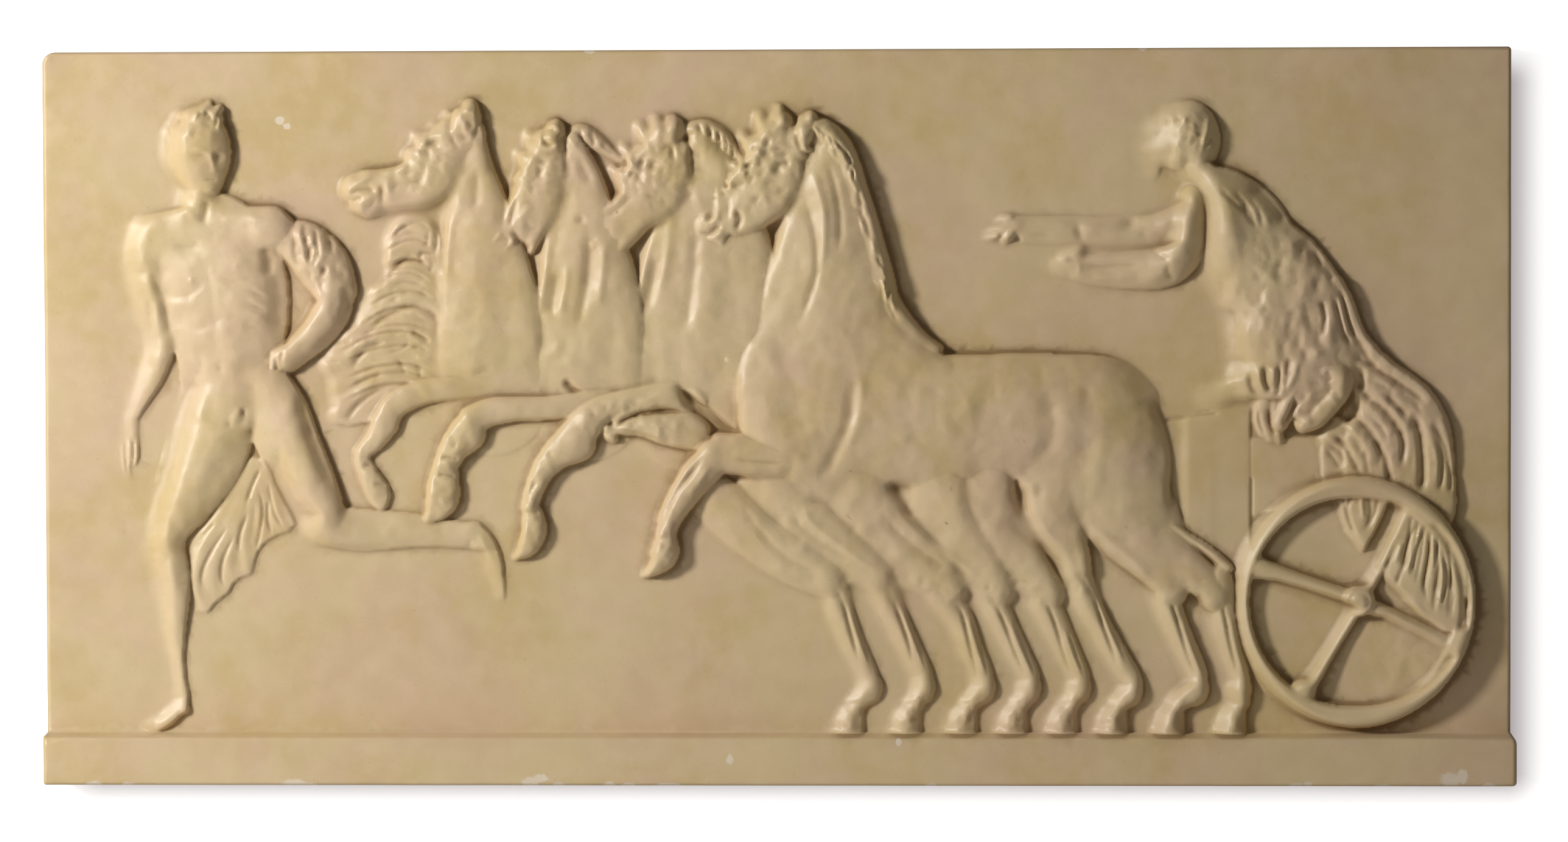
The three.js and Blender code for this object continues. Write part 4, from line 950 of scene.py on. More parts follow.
def driver():
    d = blank()
    form(d, inset(BACK, (12, 22, 30, 36, 41, 44, 45), (12, 14, 15, 15.5, 15.5)), wall=0.14, power=1.9)
    form(d, [[846, 318, 45, 15], [845, 302, 43, 14.5], [846, 290, 38, 12.5]], wall=0.25, power=2.2)
    form(d, [[836, 282, 30, 10.5], [824, 268, 27, 7.5], [806, 264, 16, 4], [790, 262, 12, 2]], wall=0.05, soft=6,
         power=1.5)
    form(d, [[812, 340, 22, 8], [808, 362, 22, 11], [804, 382, 20, 12.5], [796, 400, 17, 13.5], [786, 414, 14, 13.5],
             [779, 424, 13, 13]], wall=0.1, soft=9)
    cut(d, [[823, 262], [829, 263], [836, 257], [842, 247], [858, 243], [880, 262], [893, 270], [900, 236], [900, 200],
            [770, 200], [765, 249], [785, 253], [802, 256], [815, 262]])
    d = settle(d, 2.2)
    # shoulder cloth, stretched over the blade
    strokes(d, ([[802, 406], [811, 397], [822, 388]], [[812, 403], [821, 393], [828, 380]],
                [[822, 399], [829, 389], [832, 377]], [[818, 396], [822, 386], [829, 378]]), 1.7, -1.3)
    strokes(d, ([[822, 408], [833, 400], [842, 390], [849, 378]],), 6, -3.0)
    strokes(d, ([[856, 370], [866, 361], [878, 347]],), 4.4, -2.2)
    lumps(d, ((826, 392, 2, 4, 0.8, 35), (835, 383, 2, 5, 0.8, 20), (842, 368, 3, 7, -0.9, 10),
              (851, 366, 3, 6, 0.8, 10), (858, 362, 2.5, 5, -0.9, 10), (875, 352, 3, 6, 0.9, 30),
              (870, 356, 2, 5, -1.2, 25), (878, 345, 2, 5, -1.0, 25), (805, 375, 9, 7, 0.7, 0),
              (808, 355, 7, 5, -0.8, 20), (825, 365, 10, 4, 0.6, -10)))
    # the loose front of the tunic: broad soft hollows and swellings that hang
    rng = np.random.default_rng(11)
    for i in range(70):
        x, z = rng.uniform(808, 872), rng.uniform(288, 362)
        if x + z > 1228 or x < 806 + (z - 290) * 0.05:
            continue
        half = rng.uniform(2.0, 4.6)
        bump(d, x, z, half, half * rng.uniform(1.2, 2.4), rng.uniform(0.4, 0.75) * (1 if i % 2 else -1.25),
             rng.uniform(-25, 15))
    lumps(d, ((868, 340, 3.4, 7, -1.8, 10), (862, 318, 3.4, 8, -1.4, 5), (869, 306, 3, 10, -1.8, 0),
              (877, 306, 3.4, 9, 1.8, 0), (856, 302, 3, 8, -1.2, 0), (868, 294, 3.4, 3.6, 1.8, 0),
              (846, 296, 3.2, 9, -1.3, 0), (860, 292, 2.6, 4, -1.4, 0), (834, 348, 8, 5, 1.0, -25),
              (838, 331, 6, 6, 1.0, 0), (829, 320, 7, 8, 0.9, 0), (820, 305, 6, 9, 0.8, 0),
              (812, 282, 8, 12, 1.0, 0), (830, 298, 4, 6, -0.9, 0), (818, 352, 4, 8, -0.7, 0)))
    # long folds at the side of the back, above the girdle
    strokes(d, ([[880, 332], [884, 318], [887, 306], [893, 297]], [[886, 338], [888, 324], [892, 310], [897, 300]],
                [[871, 330], [874, 318], [872, 304]]), 1.9, -2.6)
    strokes(d, ([[883, 332], [886, 316], [890, 304]], [[890, 330], [894, 315], [900, 303]]), 1.8, 1.4)
    # folds that fall from the girdle, and the hip under the hem
    strokes(d, ([[843, 288], [843, 275], [842, 262]], [[824, 282], [824, 272], [829, 264], [836, 259], [840, 250]],
                [[833, 286], [834, 274], [838, 266]], [[850, 292], [848, 280], [846, 268]]), 1.9, -2.2)
    strokes(d, ([[847, 284], [846, 272], [843, 262]], [[829, 284], [830, 274], [834, 266]],
                [[839, 284], [839, 272]], [[856, 290], [853, 278], [847, 266]]), 1.9, 1.3)
    lumps(d, ((783, 275, 9, 8, 0.9, 0), (792, 262, 10, 6, 0.8, 0), (805, 285, 8, 7, 0.7, 0), (786, 288, 8, 7, -0.8, 0),
              (812, 258, 7, 4, -1.0, 0)))
    return d


def far_arm():
    """The arm held out behind the other, in very low relief."""
    a = blank()
    form(a, [[775, 384, 13, 8.5], [755, 377, 11, 5.4], [735, 376, 10.5, 4.2], [715, 376, 10, 3.8], [693, 377, 10, 3.6],
             [675, 377, 9.5, 3.8], [664, 378, 8.5, 4.2]], wall=0, power=1.4)
    form(a, [[664, 379, 7.5, 4.4], [656, 378, 7, 4]], wall=0, soft=2, power=1.5)
    a = settle(a, 1.3)
    # fingers bent round the reins
    hand = blank()
    forms(hand, ([[661, 385, 3, 4.2], [655, 385.5, 2.8, 4.6], [650, 383, 2.2, 4.2]],
                 [[655, 379, 2.6, 4.4], [649, 378, 2.6, 4.8], [644, 375.5, 2, 4.2]],
                 [[662, 376, 4, 5.2], [659, 371.5, 3.4, 5.6], [656, 368, 2.4, 4.4]],
                 [[652, 373.4, 2.4, 4.6], [647, 371.6, 2.2, 4.6], [642, 371.6, 1.8, 4]]), wall=0.15, soft=0.8)
    a = soft_max(a, settle(hand, 0.8), 0.8)
    lumps(a, ((717, 378, 6, 3.4, 0.9, 0), (766, 382, 6, 5, 1.4, 0), (708, 375, 3, 6, -1.6, 15),
              (742, 381, 6, 5, -2.2, 0), (666, 370, 2.6, 3.4, -1.6, 0), (730, 371, 7, 3, 0.7, 0),
              (690, 382, 9, 3, 0.6, 0), (752, 374, 4, 5, -1.0, 0), (773, 377, 3, 4, -1.0, 0),
              (684, 373, 8, 2.6, -0.8, 0)))
    return a


def near_arm():
    """The near arm, bent at the elbow, with the hand closed on the reins."""
    a = blank()
    form(a, [[784, 396, 14, 12.5], [782, 384, 15, 14], [779, 370, 15.5, 14.5], [774, 359, 15.5, 14],
             [763, 352, 15, 10], [748, 350, 14, 6.6], [730, 350, 13, 4.8], [712, 351, 12, 4], [700, 353, 10, 3.4],
             [692, 353, 8, 2.8]], wall=0.06, lean=-0.05, power=1.6)
    form(a, [[706, 362, 6, 5], [697, 360, 5, 4.4]], wall=0.3, soft=2)
    a = settle(a, 1.4)
    strokes(a, ([[752, 362], [738, 359], [724, 358], [712, 358]], [[748, 345], [732, 344], [716, 345]]), 2.6, 0.9)
    strokes(a, ([[752, 353], [736, 353], [722, 352], [708, 353]], [[756, 366], [762, 360], [770, 356]],
                [[772, 342], [768, 349], [770, 355]]), 2.2, -1.1)
    lumps(a, ((770, 353, 6, 5, 0.9, 20), (786, 372, 4, 7, -0.8, 0), (780, 388, 6, 7, 0.9, 0), (790, 380, 4, 5, -0.7, 0),
              (757, 345, 8, 5, 0.8, 0), (716, 362, 7, 3, -1.4, 0), (690, 354, 4, 5, 0.9, 0), (700, 347, 4, 3, -0.9, 0),
              (702, 357, 2.6, 2, -1.0, 0), (708, 350, 2, 4, 0.8, 0), (773, 368, 6, 6, 0.6, 0)))
    return a


def driver_head():
    h = blank()
    form(h, [[758, 427, 10, 6.5], [762, 435, 16, 9.5], [771, 441, 22, 12.5], [778, 441, 24.5, 16]], wall=0.1,
         power=1.7)
    # profile to the left, of a plain standard type: brow, nose, lips and chin at even thirds
    form(h, [[756, 449, 7, 8.5], [750, 445, 4.4, 6.5]], wall=0.3, soft=4)
    form(h, [[750, 441, 3.6, 6], [746.5, 436, 3, 6], [744, 431.5, 2.8, 6]], wall=0.3, soft=3)
    form(h, [[752, 426.5, 4, 6], [747.5, 425.6, 2.4, 5.4]], wall=0.3, soft=2)
    form(h, [[752, 421.5, 4, 6], [748.4, 421.6, 2.4, 5.2]], wall=0.3, soft=2)
    form(h, [[757, 416.5, 6, 6.5], [752, 415.5, 4.6, 6]], wall=0.3, soft=3)
    h = settle(h, 1.3)
    lumps(h, ((755, 437.5, 3.6, 2.0, -1.3, 10), (755, 436.8, 1.9, 1.0, 0.9, 0), (761, 428, 6, 5, 0.8, 0),
              (750, 429.4, 2.4, 1.0, -0.7, 0), (752, 423.7, 3.2, 0.8, -0.9, 0), (752, 418.8, 3.0, 0.9, -0.7, 0),
              (758, 446, 5, 4, 0.6, 0)))
    strokes(h, ([[751, 441.5], [756, 442.2], [761, 440.6]],), 1.5, 0.9)
    strokes(h, ([[754, 412], [764, 415], [771, 424]],), 2.4, -1.3)
    # short hair, brushed from the brow back to the nape
    cap = blank()
    form(cap, [[766, 456, 8, 10], [776, 450, 14, 14], [783, 441, 19.5, 16], [786, 433, 16.5, 15.5],
               [789, 427, 11, 14], [790, 421, 7, 13]], wall=0.12, power=1.7, soft=4)
    cap = settle(cap, 1.2)
    for i, swing in enumerate((-9, -6, -3, 0, 3, 6, 9, 12)):
        top = 461 - abs(i - 2.5) * 1.1
        strokes(cap, ([[768 + i * 4.2, top], [771 + i * 4.0, top - 8], [768 + i * 3.8 + swing * 0.3, top - 16],
                       [772 + i * 3.0, top - 25]],), 1.5, -1.5 if i % 2 else 1.2, taper=0.3)
    rng = np.random.default_rng(21)
    for i in range(46):
        a = rng.uniform(-0.9, 2.4)
        r = rng.uniform(0.2, 0.95)
        bump(cap, 782 + 21 * r * np.cos(a), 441 + 21 * r * np.sin(a), 1.6, rng.uniform(2.4, 4.2),
             rng.choice([-1.2, 0.9]), np.degrees(a) + rng.uniform(-30, 30))
    h = soft_max(h, cap, 1.5)
    # ear and the hollow behind the jaw
    lumps(h, ((774, 431, 2.6, 4.0, 1.3, 10), (774.4, 431, 1.1, 2.0, -1.2, 10), (781, 424, 3, 5, -1.8, -20),
              (768, 450, 2, 5, -1.4, -15)))
    return h


def robe():
    """The robe blown back from the driver's girdle, in long folds that run behind the wheel."""
    edge = [[886, 343], [893, 330], [897, 318], [902, 307], [911, 296], [922, 286], [935, 277], [946, 267], [954, 255],
            [959, 241], [961, 225], [962, 210], [963, 195]]
    out = blank()
    form(out, inset(edge, (7, 9, 13, 20, 29, 35, 38, 37), (13, 12, 11.5, 11, 11, 10.5, 10)), wall=0.5, power=3)
    area(out, [[868, 236], [880, 252], [900, 240], [905, 203], [869, 203]], 5)
    cut(out, [[862, 203], [905, 203], [925, 198], [942, 188], [957, 173], [990, 150], [990, 100], [862, 100]])
    out = settle(out, 1.0)
    # grooves, from the outermost inwards
    strokes(out, ([[884, 338], [886, 326], [890, 312], [895, 302], [903, 290], [911, 281], [922, 274], [935, 265],
                   [943, 258]],), 2.0, -4.2, taper=0.12)
    strokes(out, ([[889, 300], [896, 291], [904, 285], [910, 282]],), 1.6, -2.6)
    strokes(out, ([[932, 251], [937, 243], [939, 232], [940, 220], [940, 208], [938, 198]],), 2.7, -5.2, taper=0.15)
    strokes(out, ([[897, 270], [905, 261], [913, 255], [920, 247], [926, 237], [927, 228], [925, 214]],
                  [[889, 257], [897, 248], [904, 240], [910, 231], [915, 221], [917, 212], [920, 203]]), 1.9, -4.2,
            taper=0.15)
    strokes(out, ([[897, 284], [898, 275], [898, 267]],), 2.6, -5.5, taper=0.2)
    strokes(out, ([[946, 246], [952, 237], [956, 227], [957, 217]], [[950, 236], [953, 224], [953, 210], [951, 198]],
                  [[957, 222], [959, 210], [959, 198]], [[915, 266], [922, 258], [930, 250]],
                  [[880, 238], [888, 230], [892, 222], [898, 211]], [[869, 232], [869, 220], [870, 209]]), 1.6, -2.9,
            taper=0.2)
    strokes(out, ([[893, 238], [896, 231], [898, 225]], [[900, 228], [902, 219], [903, 211]],
                  [[908, 236], [911, 226], [911, 214]], [[905, 250], [912, 242], [916, 234]],
                  [[918, 240], [921, 230], [921, 216]], [[931, 240], [933, 228], [932, 212]],
                  [[945, 232], [947, 220], [946, 206]], [[924, 268], [934, 260], [940, 252]],
                  [[875, 226], [880, 222], [884, 214]], [[876, 230], [884, 226], [889, 217]],
                  [[905, 275], [914, 270], [924, 262]]), 1.3, -1.7)
    strokes(out, ([[896, 316], [901, 304], [911, 292], [924, 281], [938, 271], [948, 259]],
                  [[905, 269], [914, 261], [922, 253], [929, 243], [933, 230], [933, 214]],
                  [[901, 259], [909, 250], [917, 240], [921, 228], [920, 214]],
                  [[942, 246], [946, 234], [947, 220], [946, 204]],
                  [[951, 250], [956, 240]], [[948, 230], [950, 216], [949, 202]],
                  [[884, 248], [894, 240], [902, 230], [907, 218]], [[874, 236], [884, 234]]), 1.9, 1.4)
    lumps(out, ((876, 215, 3, 2.4, 1.0, 0), (885, 214, 3, 2, 0.8, 0), (872, 225, 2.4, 4, 0.7, 0),
                (880, 245, 5, 4, -0.8, 20), (930, 262, 4, 2.6, -0.8, -40), (900, 236, 2, 3, 0.8, 0)))
    return out


def girdle():
    """The rolled girdle at the driver's hip, with the tails of cloth that hang from it."""
    roll = blank()
    form(roll, [[844, 246, 6, 11], [850, 260, 7, 14], [858, 275, 7.5, 16.5], [865, 286, 6.5, 17]], wall=0.45, soft=1.5)
    form(roll, [[868, 282, 7, 16], [878, 280, 10, 17], [884, 275, 9.5, 17], [882, 266, 8.5, 16], [875, 257, 8, 14],
                [868, 249, 7.5, 13], [859, 245, 6.5, 12]], wall=0.45, soft=2)
    form(roll, [[857, 256, 9, 13], [866, 268, 9, 14.5]], wall=0.3, soft=3)
    roll = settle(roll, 0.9)
    strokes(roll, ([[867, 284], [861, 273], [855, 261], [850, 251], [846, 243]],), 2.3, -4.6, taper=0.15)
    strokes(roll, ([[870, 282], [872, 274], [878, 266]], [[875, 281], [878, 274]]), 1.7, -3.0, taper=0.25)
    strokes(roll, ([[852, 250], [855, 247], [858, 244]],), 1.5, -1.8)
    lumps(roll, ((864, 264, 3, 4, 1.3, -20), (858, 255, 2.6, 3, -1.2, 0), (870, 256, 4, 3, 1.0, 30),
                 (862, 247, 3, 2.4, 0.9, 0), (868, 270, 2.4, 3, -0.9, 0), (887, 277, 3, 5, 0.9, 0),
                 (880, 287, 4, 2, -0.9, 0)))
    # tails of cloth below the hip
    tails = blank()
    forms(tails, ([[833, 262, 6, 8.5], [832, 248, 5.5, 7], [837, 236, 4, 5]],
                  [[841, 260, 5, 9], [841, 247, 4.5, 7.5], [843, 234, 3.5, 5]],
                  [[828, 258, 4, 7], [828, 247, 3.4, 6], [831, 238, 2.6, 4.4]]), wall=0.3, soft=1)
    tails = settle(tails, 0.8)
    strokes(tails, ([[829, 256], [830, 246], [834, 236]], [[836, 256], [837, 246], [841, 236]]), 1.1, -1.8)
    return np.maximum(roll, tails)


def robe_behind_wheel():
    out = blank()
    area(out, [[876, 206], [921, 203], [912, 180], [899, 156], [887, 172]], 5.5)
    area(out, [[930, 204], [955, 184], [970, 150], [968, 105], [952, 103], [938, 114], [926, 126], [911, 142],
               [908, 150], [922, 182]], 6)
    out = settle(out, 1.0)
    strokes(out, [
        [[884, 200], [887, 190], [894, 168]],
        [[893, 200], [889, 184], [897, 164]],
        [[902, 200], [905, 186], [901, 172]],
        [[910, 200], [908, 186], [903, 174]],
        [[936, 178], [930, 165], [926, 148]],
        [[941, 178], [936, 160], [932, 140]],
        [[944, 176], [944, 158], [941, 138], [943, 124]],
        [[948, 170], [951, 152], [948, 132], [947, 116]],
        [[953, 160], [956, 142], [953, 122]],
        [[922, 168], [918, 156], [915, 146]],
        [[931, 158], [924, 142], [922, 134]],
        [[958, 150], [960, 130], [958, 112]],
    ], 1.3, -1.5)
    strokes(out, [
        [[939, 176], [934, 160], [929, 142]],
        [[946, 172], [947, 152], [945, 128]],
        [[950, 165], [953, 140], [950, 118]],
        [[926, 165], [921, 150]],
        [[898, 198], [900, 180]],
    ], 1.2, 1.6)
    strokes(out, [[[955, 176 - i], [959, 150 - i], [956, 120 - i]] for i in (0, 8)], 0.8, -1.3)
    strokes(out, [[[933 + i * 4.4, 190 - i * 5], [930 + i * 4.4, 166 - i * 4], [925 + i * 4.8, 146 - i * 5]]
                  for i in range(5)], 0.8, -1.3)
    stroke(out, [[912, 140], [925, 127], [936, 121], [944, 112]], 1.6, 1.0)
    return out


def car():
    out = blank()
    area(out, [[776, 251], [798, 254], [798, 150], [776, 168]], 1.6)
    area(out, [[797, 256], [824, 258], [824, 160], [818, 140], [797, 150]], 1.5)
    area(out, [[824, 236], [871, 236], [871, 196], [826, 182]], 1.4)
    out = settle(out, 1.6)
    stroke(out, [[765, 249], [785, 252.6], [802, 254.6]], 1.4, 1.2, taper=0.1)
    trace = blank()
    form(trace, [[770, 176, 2.6, 7], [780, 169, 3.2, 7], [795, 159, 3.8, 7], [808, 147, 4, 6.5]], wall=0.5)
    stroke(trace, [[778, 172], [790, 165], [802, 157]], 0.9, -1.6)
    return np.maximum(out, trace)


WHEEL = dict(x=892, z=124, half_width=84, half_height=86, rim=15, rise=17)


def wheel():
    out = blank()
    gx = xs[None, :] - WHEEL["x"]
    gz = zs[:, None] - WHEEL["z"]
    a = WHEEL["half_width"] - WHEEL["rim"] / 2
    b = WHEEL["half_height"] - WHEEL["rim"] / 2
    r = np.hypot(gx / a, gz / b)
    away = (r - 1) * (a + b) / 2 / (WHEEL["rim"] / 2)
    dome = np.sqrt(np.clip(1 - away ** 2, 0, 1))
    tilt = 0.85 + 0.15 * gx / WHEEL["half_width"]
    rim = WHEEL["rise"] * tilt * (0.62 + 0.38 * dome) - 0.8 * np.exp(-((away + 0.3) / 0.25) ** 2)
    out = np.maximum(out, np.where(np.abs(away) <= 1, rim, NOTHING).astype(np.float32))
    hub = (WHEEL["x"] + 5, WHEEL["z"] + 1)
    for tip, rise in (((931, 188), 12.5), ((824, 149), 10.5), ((858, 61), 12.5), ((957, 96), 13)):
        spoke = blank()
        form(spoke, [[*hub, 5.6, 12.5], [*between(hub, tip, 0.5), 5.4, rise], [*between(hub, tip, 0.8), 6.4, rise],
                     [*between(hub, tip, 0.92), 7.4, rise], [*tip, 10, rise - 1]], wall=0.35, power=2.2)
        out = np.maximum(out, spoke)
    form(out, [[hub[0] - 0.5, hub[1], 10.5, 17], [hub[0] + 0.5, hub[1], 10.5, 17]], wall=0.6, soft=1, power=2.4)
    out = settle(out, 0.9)
    ring = np.hypot(xs[None, :] - hub[0], zs[:, None] - hub[1])
    out += (-1.0 * np.exp(-((ring - 6.2) / 1.5) ** 2)).astype(np.float32)
    return out


def uneven(rng, sigma, high):
    """Soft random swellings and hollows, about four sigma across."""
    g = blur(rng.normal(0, 1, (len(zs), len(xs))).astype(np.float32), sigma)
    return high * g / g.std()


def behind_wheel(scene):
    """The ground seen through the wheel stands a little proud of the ground outside it."""
    r = np.hypot((xs[None, :] - WHEEL["x"]) / (WHEEL["half_width"] - 6),
                 (zs[:, None] - WHEEL["z"]) / (WHEEL["half_height"] - 6))
    proud = 1.5 + 6.5 * smooth_step((xs[None, :] - WHEEL["x"] + 20) / 90)
    return scene + proud * smooth_step((1 - r) / 0.08)


def background():
    """The hand-finished ground, which isn't quite flat."""
    rng = np.random.default_rng(1)
    return uneven(rng, 45, 0.28) + uneven(rng, 18, 0.16) + uneven(rng, 7, 0.05)


# Where hair, cloth and hooves are worked most: x, z, half length, half height and depth
WORKED = (
    (258, 432, 36, 30, 0.4), (300, 452, 26, 14, 0.6), (342, 428, 26, 38, 0.45), (372, 440, 26, 12, 0.5),
    (424, 424, 34, 38, 0.45), (458, 440, 26, 12, 0.5), (498, 424, 32, 42, 0.45), (540, 440, 20, 16, 0.4),
    (228, 215, 18, 36, 0.35), (280, 210, 24, 44, 0.4), (345, 195, 30, 50, 0.4), (400, 247, 40, 18, 0.5),
    (425, 165, 20, 34, 0.35), (236, 320, 44, 62, 0.35), (150, 150, 26, 36, 0.35), (650, 48, 190, 16, 0.45),
    (650, 132, 170, 14, 0.25), (846, 335, 44, 60, 0.28), (900, 260, 60, 60, 0.3), (104, 452, 26, 14, 0.4),
    (190, 358, 22, 30, 0.35), (652, 378, 16, 14, 0.3), (780, 442, 22, 24, 0.35), (306, 155, 14, 30, 0.3),
)


def handwork(scene):
    """The unevenness that the modeller's fingers and tools leave, most of it on the figures."""
    rng = np.random.default_rng(2)
    share = 0.2 + 0.8 * smooth_step((blur(scene, 3) - 1) / 5)
    worked = np.zeros_like(scene)
    for x, z, half_x, half_z, deep in WORKED:
        away = np.hypot((xs[None, :] - x) / half_x, (zs[:, None] - z) / half_z)
        worked = np.maximum(worked, deep * smooth_step(1.3 - away))
    knobs = uneven(rng, 1.7, 0.62) + uneven(rng, 1.0, 0.3)
    knobs = np.where(knobs < 0, knobs * 1.3, knobs * 0.8)
    hand = uneven(rng, 6, 0.24) + uneven(rng, 2.8, 0.15) + uneven(rng, 1.3, 0.05)
    return scene + (share * (hand + worked * knobs)).astype(np.float32)


def build():
    scene = background()

    def over(layer, melt=8, wall=0.1, share=1.0):
        nonlocal scene
        scene = laid_over(scene, np.where(layer > NOTHING + 1, layer * share, NOTHING), melt, wall)

    over(flying_cloak(), 10, 0.1, 0.62)
    over(horse_one_neck(), 8, 0.1, 0.85)
    over(horse_one_head(), 10, 0.06, 0.82)
    over(horse_two_neck(), 8, 0.1, 0.88)
    over(horse_two_head(), 9, 0.08, 0.86)
    over(horse_three_neck(), 8, 0.1, 0.9)
    over(horse_three_head(), 9, 0.08, 0.88)
    ease(scene, 255, 392, 34, 9, 2.6)
    ease(scene, 284, 412, 9, 24, 2.4, -15)
    ease(scene, 352, 402, 10, 28, 1.8)
    ease(scene, 432, 392, 22, 22, 1.8)
    for x, z, half_x, half_z in ((262, 449, 24, 16), (330, 440, 15, 20), (412, 446, 26, 18)):
        ease(scene, x, z, half_x, half_z, 1.8)
    over(thighs(), 10)
    for inner, outer, hoof_right, rise in HIND_LEGS:
        over(hind_leg(inner, outer, hoof_right, rise), 16, 0.05, 0.8)
    over(leg_one(), 6, 0.1, 0.75)
    over(leg_two(), 6)
    over(leg_three(), 6)
    over(leg_bundle(), 5)
    stroke(scene, [[432, 273], [443, 264], [456, 253], [468, 242], [476, 235]], 2.6, -6)
    stroke(scene, [[436, 268], [446, 256], [457, 248], [470, 240]], 3.4, -5)
    over(near_horse())
    over(leg_four())
    stroke(scene, [[560, 288], [560, 270], [559, 254], [555, 240], [549, 228]], 3.6, 0.6)
    stroke(scene, [[553, 280], [553, 262], [551, 247], [546, 234], [539, 219], [533, 205]], 4.6, -1.9, taper=0.25)
    ease(scene, 672, 182, 14, 30, 2.2, -25)
    ease(scene, 590, 160, 120, 34, 1.4)
    ease(scene, 560, 200, 110, 10, 2.0)
    over(horse_four_head(), 9, 0.08, 0.94)
    ease(scene, 490, 449, 26, 16, 1.8)
    ease(scene, 508, 394, 20, 22, 1.6)
    over(car())
    over(lower_cloak(), 8, 0.1, 0.55)
    over(runner(), 22, 0.03, 0.88)
    over(runner_cloak_arm(), 10)
    over(runner_head(), 22, 0.03, 0.9)
    over(robe_behind_wheel())
    over(robe(), 6, 0.1, 0.74)
    over(far_arm(), 14, 0.02)
    over(driver(), 30, 0.02)
    over(girdle(), 4, 0.15, 0.9)
    ease(scene, 812, 260, 22, 6, 2.4)
    bump(scene, 803, 374, 13, 34, 6.5)
    bump(scene, 800, 330, 12, 18, -1.5)
    over(near_arm(), 18, 0.03)
    over(driver_head(), 34, 0.02, 0.8)
    ease(scene, 806, 356, 14, 12, 3)
    ease(scene, 720, 366, 40, 5, 1.6)
    ease(scene, 680, 46, 150, 13, 1.1)
    ease(scene, 640, 130, 100, 11, 1.8)
    ease(scene, 925, 250, 44, 56, 0.9)
    stroke(scene, [[764, 247], [785, 250.6], [803, 252.6]], 1.5, -1.6, taper=0.15)
    scene = handwork(behind_wheel(scene))
    over(wheel(), 16, 0.06)
    scene = np.maximum(scene, -1)
    plinth = (zs < GROUND)[:, None] & np.ones(len(xs), bool)[None, :]
    scene = np.where(plinth, 21.0 + uneven(np.random.default_rng(3), 9, 0.07), scene)
    return scene.astype(np.float32)


# The panel's mesh
MM = 0.001
SLAB_FRONT = 30.0
PLINTH_OVERHANG = 3.0
PLINTH_CORNER = 5.0
EDGE_ROUND = 2.6
BACK_ROUND = 2.0
CORNER_ROUNDS = {(0, 1): 9.0, (1, 1): 2.5, (0, 0): 2.0, (1, 0): 2.5}
TRIANGLES = 190000


def front_points(h, step):
    """The front's points in metres, with its edges and corners rounded."""
    gx, gz = np.meshgrid(xs[::step], zs[::step])
    h = h[::step, ::step]
    inset = np.minimum(np.minimum(gx, SHEET_LENGTH - gx), np.minimum(gz, SHEET_HEIGHT - gz))
    fall = EDGE_ROUND * (1 - np.sqrt(np.clip(1 - (1 - np.clip(inset / EDGE_ROUND, 0, 1)) ** 2, 0, 1)))
    high = SLAB_FRONT + h - fall
    for (right, top), r in CORNER_ROUNDS.items():
        cx = SHEET_LENGTH - r if right else r
        cz = SHEET_HEIGHT - r if top else r
        vx = gx - cx
        vz = gz - cz
        corner = (vx * (1 if right else -1) > 0) & (vz * (1 if top else -1) > 0)
        long = np.hypot(vx, vz)
        pull = np.maximum(np.abs(vx), np.abs(vz)) / np.maximum(long, 1e-6)
        gx = np.where(corner, cx + vx * pull, gx)
        gz = np.where(corner, cz + vz * pull, gz)
    below = np.clip((GROUND - 0.5 - gz) / PLINTH_CORNER, 0, 1)
    reach = PLINTH_OVERHANG * np.sqrt(1 - (1 - below) ** 2)
    gx = gx + reach * np.clip((gx - SHEET_LENGTH + 20) / 20, 0, 1)
    return np.stack([gx - SHEET_LENGTH / 2, -high, gz - SHEET_HEIGHT / 2], -1) * MM


def clear_selection():
    bpy.ops.object.select_all(action="DESELECT")


